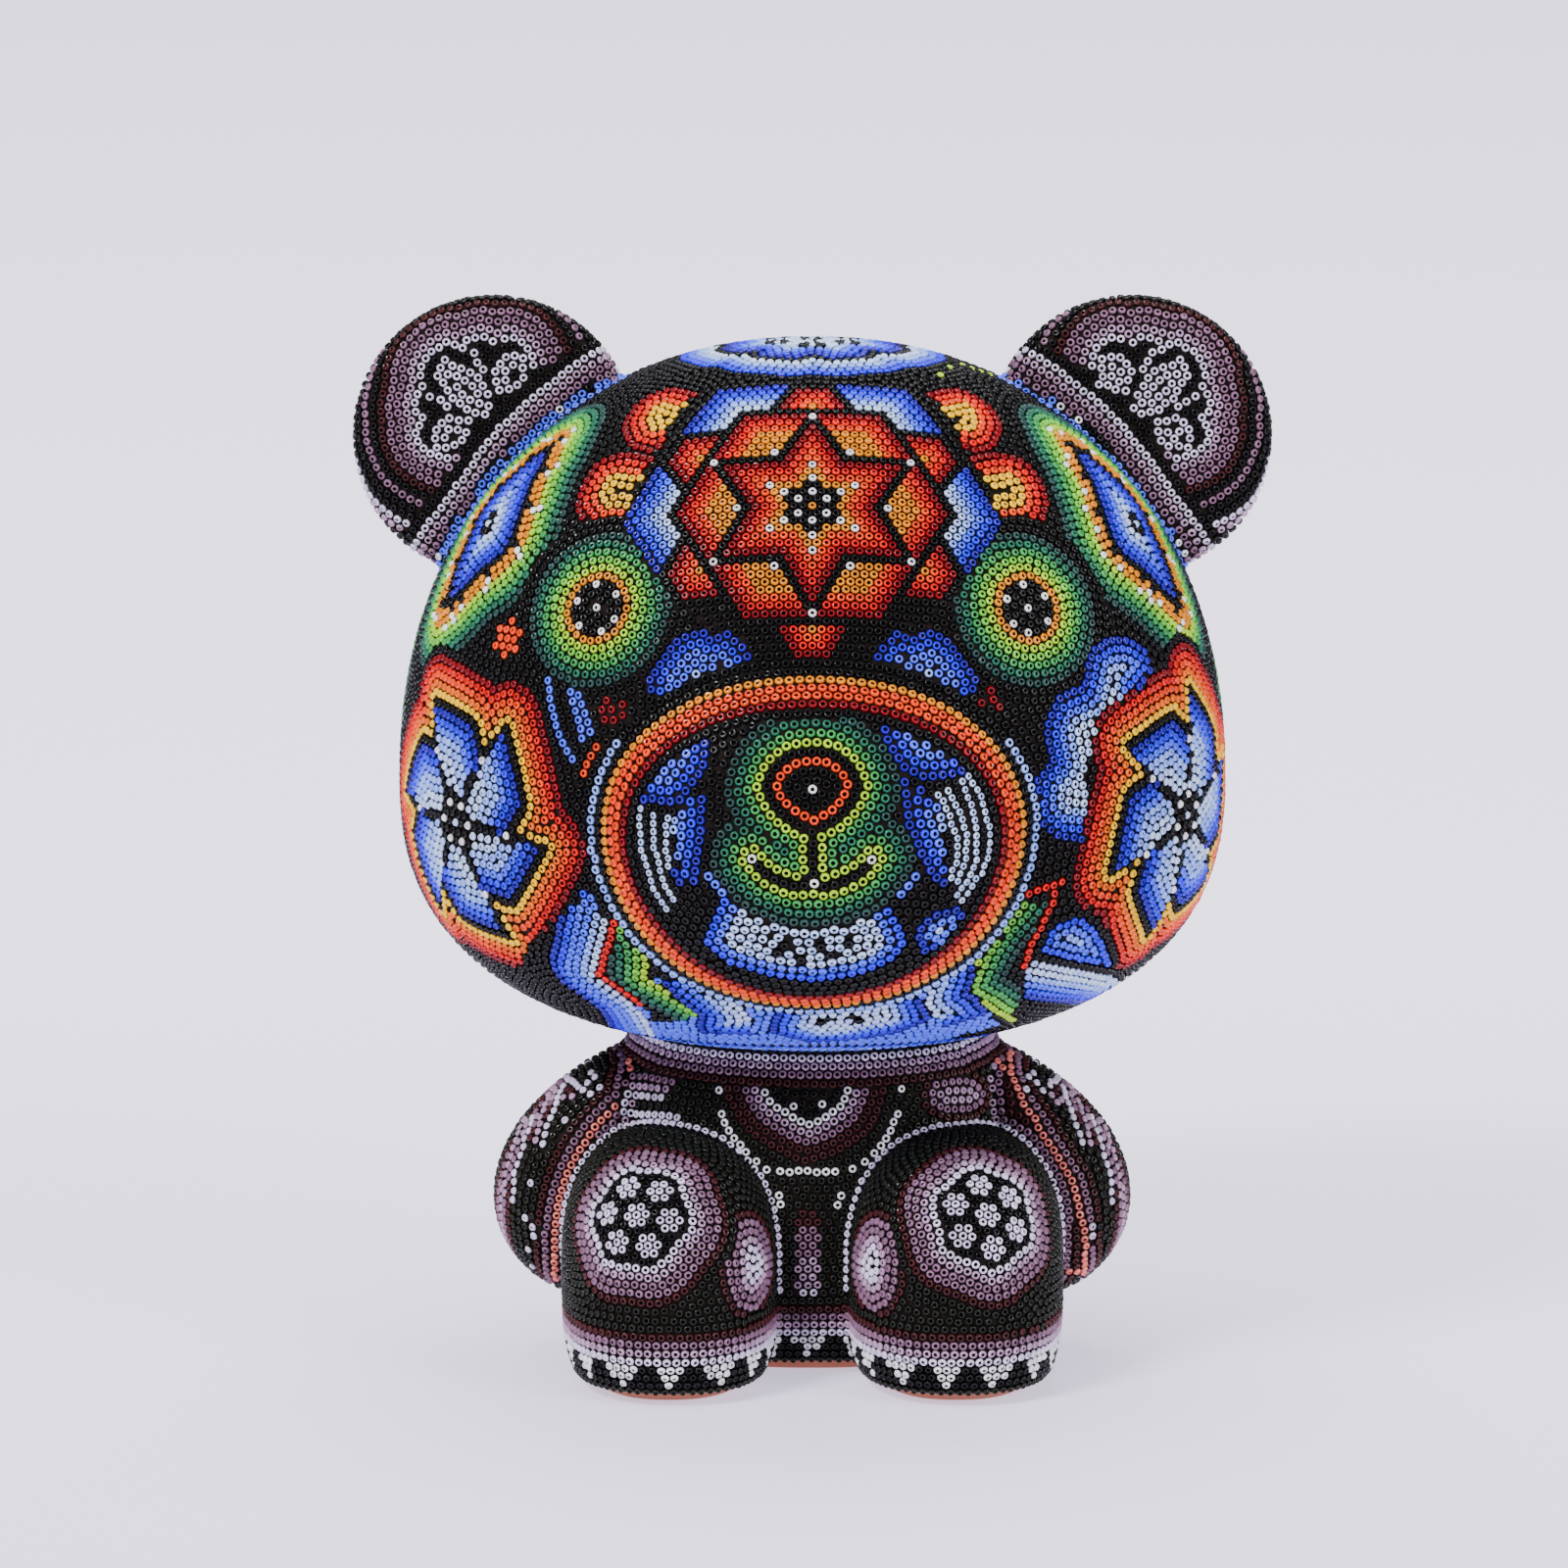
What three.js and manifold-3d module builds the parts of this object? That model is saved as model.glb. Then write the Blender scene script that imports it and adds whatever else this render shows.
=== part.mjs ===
// A seated bear figure covered in glass seed beads, as an assembly of its separate pieces.
// Each of the nine body parts (head, muzzle, two ears, torso, two arms, two legs) has three layers:
// a fired clay form, a coat of beeswax on it, and the layer of beads pressed into the wax.
// Units are millimetres, +Z is up, the bear faces -Y, and the origin is under its middle on the table.
import * as THREE from "three";
import { mergeVertices } from "three/addons/utils/BufferGeometryUtils.js";
import Module from "manifold-3d";

const wasm = await Module();
wasm.setup();

// Layer thicknesses, counted outwards from the clay.
const BEAD_LAYER = 1.1;
const WAX_COAT = 1.5;
const COVERING = BEAD_LAYER + WAX_COAT;
const CLAY_WALL = 4;
const LAYER_GAP = 0.15; // between two layers of one part
const JOINT_GAP = 0.3; // between two neighbouring parts

// Heights at which each layer stops above the table, so that bare clay soles show.
const WAX_HEM = 2.8;
const BEAD_HEM = 3.2;

// Openings, each a round hole along Z: the torso's top stands open inside the hollow head, and its base has a
// firing vent.
const NECK = { radius: 17, from: 60, to: 120 };
const VENT = { radius: 1.5, from: -10, to: 20 };
const HOLE_SIDES = 20;
const WELD = 1e-3; // points of a mesh closer than this are one point
const TRIM = 400; // size of the blocks that trim the hems, larger than the whole bear

// Body parts, measured over the beads.
// radii: half width, half depth, then heights above and below the centre. A part with its poles along Y
// has half width, half height, then depths behind and in front of its centre.
// power: how square the section round the poles is, then the outline above and below (or behind and
// in front).
const HEAD = {
  centre: [0, 5.5, 141.7],
  radii: [99, 85, 105, 63.5],
  power: [2.1, 2.15, 2.5],
  segments: [20, 12],
  hollow: true,
};
const MUZZLE = {
  centre: [0, -55.5, 142],
  radii: [53.7, 44.7, 18, 35],
  power: [2.1, 2.2, 2.1],
  segments: [16, 7],
  alongY: true,
};
const EAR = {
  centre: [76, 13.5, 222.4],
  radii: [34, 34, 9, 9],
  power: [2, 3, 3],
  segments: [16, 8],
  alongY: true,
};
const TORSO = {
  centre: [0, 11.5, 38.5],
  radii: [50, 38, 62, 46],
  power: [2.3, 2.8, 3.2],
  segments: [18, 9],
  hollow: true,
  stands: true,
};
const LEG = {
  centre: [34, -20.5, 29],
  radii: [26, 36, 32, 34],
  power: [2.3, 2.4, 4],
  segments: [14, 9],
  stands: true,
};
// bend: how far the arm's ends lean in towards the body, per square millimetre from bendHeight.
const ARM = {
  centre: [61.5, 8.5, 45],
  radii: [16, 23, 33, 31],
  power: [2, 2, 2.4],
  segments: [12, 8],
  bend: 0.015,
  bendHeight: 36,
};
const mirrored = (part) => ({
  ...part,
  centre: part.centre.map((value, axis) => (axis === 0 ? -value : value)),
});
const PARTS = {
  torso: TORSO,
  head: HEAD,
  muzzle: MUZZLE,
  ear_left: mirrored(EAR),
  ear_right: EAR,
  leg_left: mirrored(LEG),
  leg_right: LEG,
  arm_left: mirrored(ARM),
  arm_right: ARM,
};
const ORDER = Object.keys(PARTS);
const HEAD_PARTS = ["head", "muzzle", "ear_left", "ear_right"];

const MATERIALS = {
  form: { color: 0x9c5f40, roughness: 0.75, metalness: 0 },
  wax: { color: 0x4a3020, roughness: 0.5, metalness: 0 },
  beads_bright: { color: 0x3a55c8, roughness: 0.15, metalness: 0 },
  beads_dark: { color: 0x3b2c33, roughness: 0.15, metalness: 0 },
};
const BRIGHT_PARTS = ["head", "muzzle"];

// A closed three.js geometry as a manifold solid.
function solidOf(geometry) {
  const bare = geometry.clone();
  bare.deleteAttribute("normal");
  bare.deleteAttribute("uv");
  const merged = mergeVertices(bare, WELD);
  return new wasm.Manifold(
    new wasm.Mesh({
      numProp: 3,
      vertProperties: merged.attributes.position.array,
      triVerts: new Uint32Array(merged.index.array),
    }),
  );
}

// A manifold solid as a three.js geometry whose own origin is at centre.
function geometryOf(solid, centre) {
  const mesh = solid.getMesh();
  const geometry = new THREE.BufferGeometry();
  geometry.setAttribute(
    "position",
    new THREE.BufferAttribute(mesh.vertProperties, 3),
  );
  geometry.setIndex(new THREE.BufferAttribute(mesh.triVerts, 1));
  geometry.translate(-centre.x, -centre.y, -centre.z);
  geometry.computeVertexNormals();
  return geometry;
}

// Leans the upper and lower ends of an arm in towards the body.
function bendInwards(geometry, part) {
  const points = geometry.attributes.position;
  for (let i = 0; i < points.count; i++) {
    const lean = part.bend * (points.getZ(i) - part.bendHeight) ** 2;
    points.setX(i, points.getX(i) - Math.sign(part.centre[0]) * lean);
  }
}

// One body part as a rounded super-ellipsoid, grown outwards by grow from its outline over the beads.
function roundedForm(part, grow) {
  const [across, along, above, below] = part.radii.map((r) => r + grow);
  const [section, top, bottom] = part.power;
  const geometry = new THREE.SphereGeometry(1, ...part.segments);
  // The sphere's poles are on Y: they stay there, or are turned to Z.
  if (!part.alongY) geometry.rotateX(Math.PI / 2);
  const points = geometry.attributes.position;
  for (let i = 0; i < points.count; i++) {
    const x = points.getX(i);
    const side = part.alongY ? points.getZ(i) : points.getY(i);
    const pole = part.alongY ? points.getY(i) : points.getZ(i);
    const power = pole > 0 ? top : bottom;
    const ring = (Math.abs(x) ** section + Math.abs(side) ** section) ** (power / section);
    const stretch = (ring + Math.abs(pole) ** power) ** (-1 / power);
    const height = stretch * pole * (pole > 0 ? above : below);
    const flat = [stretch * x * across, stretch * side * along];
    if (part.alongY) points.setXYZ(i, flat[0], height, flat[1]);
    else points.setXYZ(i, flat[0], flat[1], height);
  }
  geometry.translate(...part.centre);
  if (part.bend) bendInwards(geometry, part);
  return solidOf(geometry);
}

// Everything below a height, as a block that trims a layer's hem.
function below(height) {
  const block = new THREE.BoxGeometry(TRIM, TRIM, TRIM);
  block.translate(0, 0, height - TRIM / 2);
  return solidOf(block);
}

// A round post along Z between two heights, centred on the torso.
function post({ radius, from, to }) {
  const geometry = new THREE.CylinderGeometry(radius, radius, to - from, HOLE_SIDES);
  geometry.rotateX(Math.PI / 2);
  geometry.translate(0, PARTS.torso.centre[1], (from + to) / 2);
  return solidOf(geometry);
}

// The solid inside a part's layers, out to a distance from the clay, with some room round it.
function reach(name, distance, room) {
  return roundedForm(PARTS[name], distance - COVERING + room);
}

// The space inside a hollow form. It leaves a floor under it where the form stands on the table.
function hollowInside(name) {
  const space = reach(name, -CLAY_WALL, 0);
  return PARTS[name].stands ? space.subtract(below(CLAY_WALL)) : space;
}

// A part's clay: hollow where it is fired hollow, and cut back from the clay of the parts before it.
function clayForm(name) {
  const part = PARTS[name];
  let form = reach(name, 0, 0);
  if (part.hollow) form = form.subtract(hollowInside(name));
  for (const earlier of ORDER.slice(0, ORDER.indexOf(name)))
    form = form.subtract(reach(earlier, 0, JOINT_GAP));
  if (part.stands) form = form.subtract(below(0));
  if (name === "torso") {
    form = form.subtract(post(NECK)).subtract(post(VENT));
  }
  return form;
}

// A layer between two distances from the clay. Earlier parts keep their whole layer, and later ones stop
// at it, and no layer runs in under what a neighbour is made of further in.
function layer(name, from, to, hem) {
  let shell = reach(name, to, 0).subtract(reach(name, from, LAYER_GAP));
  ORDER.forEach((other, place) => {
    if (other === name) return;
    const earlier = place < ORDER.indexOf(name);
    shell = shell.subtract(reach(other, earlier ? to : from, JOINT_GAP));
  });
  return PARTS[name].stands ? shell.subtract(below(hem)) : shell;
}

// Only the largest body of a cut is kept, since a cut can leave a sliver behind.
function largest(solid) {
  return solid.decompose().sort((a, b) => b.volume() - a.volume())[0];
}

function makeMesh(name, solid, finish, centre) {
  const mesh = new THREE.Mesh(
    geometryOf(largest(solid), centre),
    new THREE.MeshStandardMaterial(MATERIALS[finish]),
  );
  mesh.name = name;
  return mesh;
}

function bodyPart(name) {
  const group = new THREE.Group();
  const centre = new THREE.Vector3(...PARTS[name].centre);
  group.position.copy(centre);
  const beads = BRIGHT_PARTS.includes(name) ? "beads_bright" : "beads_dark";
  group.add(
    makeMesh(`${name}_clay`, clayForm(name), "form", centre),
    makeMesh(`${name}_wax`, layer(name, 0, WAX_COAT, WAX_HEM), "wax", centre),
    makeMesh(`${name}_beads`, layer(name, WAX_COAT, COVERING, BEAD_HEM), beads, centre),
  );
  return group;
}

const upper = new THREE.Group();
const lower = new THREE.Group();
for (const name of ORDER)
  (HEAD_PARTS.includes(name) ? upper : lower).add(bodyPart(name));

const bear = new THREE.Group();
bear.name = "beaded_bear";
bear.add(lower, upper);
export default bear;
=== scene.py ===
"""A seated bear covered in glass seed beads: clay soles, a beeswax coat, and every bead laid by itself."""
import math

import bpy
import numpy as np
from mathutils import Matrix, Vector
from mathutils.bvhtree import BVHTree
from mathutils.kdtree import KDTree


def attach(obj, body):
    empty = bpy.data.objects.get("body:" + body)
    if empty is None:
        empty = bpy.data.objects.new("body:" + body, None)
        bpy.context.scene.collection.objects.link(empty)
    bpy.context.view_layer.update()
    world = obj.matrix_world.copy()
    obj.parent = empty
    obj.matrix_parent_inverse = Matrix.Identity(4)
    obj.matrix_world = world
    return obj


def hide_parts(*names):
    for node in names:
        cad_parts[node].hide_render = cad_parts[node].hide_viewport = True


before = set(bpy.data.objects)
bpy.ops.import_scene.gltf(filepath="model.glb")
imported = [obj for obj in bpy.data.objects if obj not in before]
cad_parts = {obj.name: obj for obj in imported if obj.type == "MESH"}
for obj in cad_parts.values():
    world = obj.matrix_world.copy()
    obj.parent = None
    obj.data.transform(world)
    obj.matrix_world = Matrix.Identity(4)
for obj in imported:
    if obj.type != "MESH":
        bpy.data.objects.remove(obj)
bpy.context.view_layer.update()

MM = 0.001

# ---- Sizes, in millimetres ----

BEAD_RADIUS = 1.04
BEAD_RIM = 0.58  # radius of a bead's upper edge
BEAD_HOLE = 0.4
BEAD_HEIGHT = 1.45
BEAD_BELLY = 0.08  # how far its widest ring stands above its middle
HOLE_DEPTH = 0.5  # how far the hole's wall reaches below its middle
BEAD_LIFT = 0.38  # how far a bead's middle stands above the wax
SPACING = 2.16  # from bead to bead along a row
ROW = 1.96  # from row to row
ROW_ROOM = 1.8  # beads of a row keep this far from those laid before
DOT_ROOM = 1.2  # single beads keep this far
GAP_ROOM = 1.7  # and those that close the last gaps this far
TOUCHING = 2.04  # at the end, beads closer than this are pushed apart
COMB_BEADS = 0.86  # size of the combs' beads against the usual ones, so that black ones fit between them
MUZZLE_BEADS = 1.1  # size of the beads on the muzzle against the usual ones
WAX_DEPTH = 1.1  # the wax lies this far under the outline over the beads
CLAY_DEPTH = 2.6
WAX_HEM = 2.8
BEAD_HEM = 4.4
HEM_SLACK = 0.2  # a bead's middle is laid no more than this below the hem
HEM_PUSH = 0.4  # and is pushed no more than this below it
CHIN = 84  # height of the lowest row that shows on the head
WAX_GRAIN = 1.5  # size of the cells that the wax is remeshed in
STRIDE = 3  # length of a step in a walk over the skin

# The body parts, as in the frame: centre, half sizes, how square each outline is, and whether the poles lie
# along Y.
HEAD_Y = 5.5
EAR = dict(centre=(76, 13.5, 222.4), radii=(34, 34, 9, 9), power=(2, 3, 3), along_y=True)
LEG = dict(centre=(34, -20.5, 29), radii=(26, 36, 32, 34), power=(2.3, 2.4, 4))
ARM = dict(centre=(61.5, 8.5, 45), radii=(16, 23, 33, 31), power=(2, 2, 2.4), bend=0.015)
PARTS = {
    "torso": dict(centre=(0, 11.5, 38.5), radii=(50, 38, 62, 46), power=(2.3, 2.8, 3.2)),
    "head": dict(centre=(0, HEAD_Y, 141.7), radii=(99, 85, 105, 63.5), power=(2.1, 2.15, 2.5)),
    "muzzle": dict(centre=(0, -55.5, 142), radii=(53.7, 44.7, 18, 35), power=(2.1, 2.2, 2.1), along_y=True),
}
for limb, form in (("ear", EAR), ("leg", LEG), ("arm", ARM)):
    out, back, up = form["centre"]
    PARTS[f"{limb}_left"] = dict(form, centre=(-out, back, up))
    PARTS[f"{limb}_right"] = form
NAMES = list(PARTS)
BEND_HEIGHT = 36
HEAD_PARTS = ("head", "muzzle")
EAR_PARTS = ("ear_left", "ear_right")
REGIONS = {
    "head": HEAD_PARTS,
    "ears": EAR_PARTS,
    "body": ("torso", "arm_left", "arm_right", "leg_left", "leg_right"),
}

# Where the bear is seen from: in front and a little above.
LOOK_AT = Vector((-6.8, HEAD_Y, 139.3))
LOOK_DOWN = math.radians(10)
SIGHT = Vector((0, math.cos(LOOK_DOWN), -math.sin(LOOK_DOWN)))
SIGHT_UP = Vector((0, math.sin(LOOK_DOWN), math.cos(LOOK_DOWN)))
FAR = 2000
EYE = LOOK_AT - SIGHT * FAR
LENS = 191.5

# ---- Bead colours, as sRGB in 0 to 255 ----

COLOURS = {
    "black": (7, 7, 9),
    "olive": (22, 24, 18),
    "dark_red": (122, 22, 34),
    "red": (206, 34, 30),
    "flame": (232, 84, 12),
    "orange": (230, 112, 0),
    "gold": (218, 138, 0),
    "yellow": (246, 192, 0),
    "navy": (52, 24, 160),
    "royal": (70, 64, 236),
    "blue": (100, 116, 255),
    "light_blue": (152, 178, 255),
    "pale_blue": (190, 210, 255),
    "dark_teal": (34, 64, 60),
    "teal": (38, 99, 76),
    "green": (64, 146, 80),
    "light_green": (114, 190, 74),
    "lime": (170, 212, 64),
    "white": (238, 238, 242),
    "lilac": (218, 208, 232),
    "light_mauve": (172, 142, 168),
    "mauve": (126, 94, 116),
    "maroon": (62, 28, 30),
    "coral": (240, 136, 126),
}
PAINTS = list(COLOURS)
BARE = -1
INDEX = {name: place for place, name in enumerate(PAINTS)}


# ---- Solid shapes ----

def deselect():
    bpy.ops.object.select_all(action="DESELECT")


def activate(*pieces):
    deselect()
    for piece in pieces:
        piece.select_set(True)
    bpy.context.view_layer.objects.active = pieces[0]


def apply_modifier(piece, kind, **settings):
    activate(piece)
    modifier = piece.modifiers.new(kind.title(), kind)
    for name, value in settings.items():
        setattr(modifier, name, value)
    bpy.ops.object.modifier_apply(modifier=modifier.name)


def points_of(mesh):
    flat = np.empty(len(mesh.vertices) * 3)
    mesh.vertices.foreach_get("co", flat)
    return flat.reshape(-1, 3)


def set_points(mesh, points):
    mesh.vertices.foreach_set("co", np.asarray(points).ravel())
    mesh.update()


def lump(name, part, grow, segments=72, rings=36):
    """One rounded body part, grown outwards from its outline over the beads, as a closed piece."""
    deselect()
    bpy.ops.mesh.primitive_uv_sphere_add(segments=segments, ring_count=rings, radius=1)
    piece = bpy.context.object
    piece.name = name
    x, y, z = points_of(piece.data).T
    side, pole = (z, y) if part.get("along_y") else (y, z)
    across, along, above, below = (r + grow for r in part["radii"])
    section, top, bottom = part["power"]
    power = np.where(pole > 0, top, bottom)
    ring = (abs(x) ** section + abs(side) ** section) ** (power / section)
    stretch = (ring + abs(pole) ** power) ** (-1 / power)
    height = stretch * pole * np.where(pole > 0, above, below)
    flat = (stretch * x * across, stretch * side * along)
    shaped = (flat[0], height, flat[1]) if part.get("along_y") else (flat[0], flat[1], height)
    points = np.array(shaped).T + part["centre"]
    if "bend" in part:
        points[:, 0] -= np.sign(part["centre"][0]) * part["bend"] * (points[:, 2] - BEND_HEIGHT) ** 2
    set_points(piece.data, points * MM)
    if part.get("along_y"):
        activate(piece)
        bpy.ops.object.mode_set(mode="EDIT")
        bpy.ops.mesh.select_all(action="SELECT")
        bpy.ops.mesh.normals_make_consistent(inside=False)
        bpy.ops.object.mode_set(mode="OBJECT")
    return piece


def cut_flat(piece, height):
    """Cuts off what lies below a height, and closes the cut."""
    activate(piece)
    bpy.ops.object.mode_set(mode="EDIT")
    bpy.ops.mesh.select_all(action="SELECT")
    bpy.ops.mesh.bisect(plane_co=(0, 0, height * MM), plane_no=(0, 0, 1), use_fill=True, clear_inner=True)
    bpy.ops.object.mode_set(mode="OBJECT")


def joined(name, pieces, grain, smoothing):
    """Several lumps made one skin, with the creases between them softened."""
    activate(*pieces)
    bpy.ops.object.join()
    piece = bpy.context.object
    piece.name = name
    apply_modifier(piece, "REMESH", mode="VOXEL", voxel_size=grain * MM)
    apply_modifier(piece, "SMOOTH", factor=0.5, iterations=smoothing)
    return piece


def squareness(part, points, grow=0.0):
    """A part's own measure at each point: 1 on its outline, less inside it and more outside."""
    offset = points - np.array(part["centre"])
    if "bend" in part:
        offset[:, 0] += np.sign(part["centre"][0]) * part["bend"] * (points[:, 2] - BEND_HEIGHT) ** 2
    x, y, z = offset.T
    side, pole = (z, y) if part.get("along_y") else (y, z)
    across, along, above, below = (r + grow for r in part["radii"])
    section, top, bottom = part["power"]
    power = np.where(pole > 0, top, bottom)
    pole = abs(pole) / np.where(pole > 0, above, below)
    ring = (abs(x / across) ** section + abs(side / along) ** section) ** (power / section)
    return (ring + pole ** power) ** (1 / power)


# ---- The skin that the beads are laid on ----

class Skin:
    """The wax's outer surface, in millimetres, with a bead colour painted at each of its points."""

    def __init__(self, piece):
        mesh = piece.data
        mesh.calc_loop_triangles()
        self.points = points_of(mesh) / MM
        flat = np.empty(len(mesh.vertices) * 3)
        mesh.vertex_normals.foreach_get("vector", flat)
        self.normals = flat.reshape(-1, 3)
        corners = np.empty(len(mesh.loop_triangles) * 3, dtype=int)
        mesh.loop_triangles.foreach_get("vertices", corners)
        self.triangles = corners.reshape(-1, 3)
        self.tree = BVHTree.FromPolygons(self.points.tolist(), self.triangles.tolist())
        self.paint = np.full(len(self.points), BARE)
        measures = np.array([squareness(PARTS[name], self.points, -WAX_DEPTH) for name in NAMES])
        self.measures = measures
        self.part = measures.argmin(axis=0)

    def drop(self, point):
        """The skin's nearest point, which way it faces there, and the index of a corner beside it."""
        spot, _, triangle, _ = self.tree.find_nearest(point)
        corners = self.triangles[triangle]
        return spot, Vector(self.normals[corners].sum(axis=0)).normalized(), corners[0]

    def corner(self, point):
        """The index of a point of the skin close to a place."""
        _, _, triangle, _ = self.tree.find_nearest(point)
        corners = self.triangles[triangle]
        gaps = ((self.points[corners] - np.array(point)) ** 2).sum(axis=1)
        return corners[gaps.argmin()]

    def walk(self, start, normal, heading, length):
        """Where a straight walk over the skin ends."""
        steps = max(1, math.ceil(length / STRIDE))
        spot = start
        for _ in range(steps):
            heading = (heading - normal * heading.dot(normal)).normalized()
            spot, normal, _ = self.drop(spot + heading * (length / steps))
        return spot

    def contours(self, values, level):
        """The lines on the skin along which values given at its points equal a level."""
        values = values - level
        corner_values = values[self.triangles]
        known = np.isfinite(corner_values).all(axis=1)
        above = corner_values > 0
        mixed = known & above.any(axis=1) & ~above.all(axis=1)
        places, links = {}, {}
        for triangle in self.triangles[mixed].tolist():
            ends = []
            for a, b in ((0, 1), (1, 2), (2, 0)):
                i, j = sorted((triangle[a], triangle[b]))
                if (values[i] > 0) == (values[j] > 0):
                    continue
                if (i, j) not in places:
                    share = values[i] / (values[i] - values[j])
                    places[i, j] = self.points[i] + share * (self.points[j] - self.points[i])
                ends.append((i, j))
            for one, other in (ends, ends[::-1]):
                links.setdefault(one, []).append(other)
        return chains(places, links)


def chains(places, links):
    """Loose links joined end to end, each as its points and whether it closes."""
    lines, used = [], set()
    starts = sorted(links, key=lambda key: (len(links[key]), key))
    for start in starts:
        if start in used:
            continue
        line, key = [], start
        while key is not None:
            used.add(key)
            line.append(places[key])
            key = next((other for other in links[key] if other not in used), None)
        closed = len(links[start]) == 2 and len(line) > 3
        lines.append((np.array(line), closed))
    return lines


# ---- Charts: flat drawings laid on the skin ----

class FrontChart:
    """A drawing on the front as the eye sees it: across to the right, and height. Both are in millimetres at
    the bear's middle."""

    HEIGHT = LOOK_AT.z * math.cos(LOOK_DOWN)  # the height at which the eye looks
    HIDDEN = 0.05  # what faces further away from the eye than this isn't drawn on

    def __init__(self, skin, side=1):
        self.skin = skin
        self.side = side

    def at(self, u, v):
        aimed = LOOK_AT + Vector((self.side * u - LOOK_AT.x, 0, 0)) + SIGHT_UP * (v - self.HEIGHT)
        spot = self.skin.tree.ray_cast(EYE, (aimed - EYE).normalized())[0]
        return spot if spot is not None else self.skin.drop(aimed)[0]

    def local(self, points, normals):
        offset = points - np.array(EYE)
        nearness = FAR / (offset @ np.array(SIGHT))
        across = self.side * (LOOK_AT.x + offset[:, 0] * nearness)
        flat = np.stack((across, self.HEIGHT + offset @ np.array(SIGHT_UP) * nearness), axis=1)
        flat[normals @ np.array(SIGHT) > self.HIDDEN] = np.nan
        return flat


class PatchChart:
    """A drawing laid round one place on the skin, with distances kept in every direction from it."""

    HIDDEN = -0.2  # what turns further away from the middle's own facing than this isn't drawn on

    def __init__(self, skin, centre, turn=0.0, side=1, up=(0, 0, 1)):
        self.skin = skin
        self.side = side
        self.origin, self.normal, _ = skin.drop(Vector(centre))
        up = Vector(up)
        up = (up - self.normal * up.dot(self.normal)).normalized()
        right = up.cross(self.normal) * side
        turn = math.radians(turn)
        self.right = right * math.cos(turn) + up * math.sin(turn)
        self.up = up * math.cos(turn) - right * math.sin(turn)

    def at(self, u, v):
        length = math.hypot(u, v)
        if length < 1e-6:
            return self.origin
        heading = (self.right * u + self.up * v) / length
        return self.skin.walk(self.origin, self.normal, heading, length)

    def local(self, points, normals):
        offset = points - np.array(self.origin)
        flat = np.stack((offset @ np.array(self.right), offset @ np.array(self.up)), axis=1)
        reach = np.linalg.norm(offset, axis=1)
        spread = np.linalg.norm(flat, axis=1)
        flat *= (reach / np.maximum(spread, 1e-9))[:, None]
        flat[normals @ np.array(self.normal) < self.HIDDEN] = np.nan
        return flat


def inside(outline, flat):
    """Which flat points lie inside an outline."""
    x, y = flat.T
    within = np.zeros(len(flat), dtype=bool)
    for (x1, y1), (x2, y2) in zip(outline, outline[1:] + outline[:1]):
        if y1 == y2:
            continue
        crosses = (y1 > y) != (y2 > y)
        within ^= crosses & (x < (x2 - x1) * (y - y1) / (y2 - y1) + x1)
    return within


def divided(points, closed=True, step=1.0):
    """An outline's sides cut into short steps."""
    ends = points[1:] + points[:1] if closed else points[1:]
    spots = []
    for (x1, y1), (x2, y2) in zip(points, ends):
        count = max(1, math.ceil(math.hypot(x2 - x1, y2 - y1) / step))
        spots += [(x1 + (x2 - x1) * k / count, y1 + (y2 - y1) * k / count) for k in range(count)]
    return spots if closed else spots + [points[-1]]


def ellipse(across, up, centre=(0, 0), count=48):
    turns = [math.tau * k / count for k in range(count)]
    return [(centre[0] + across * math.cos(t), centre[1] + up * math.sin(t)) for t in turns]


# ---- Laying the beads ----

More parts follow.
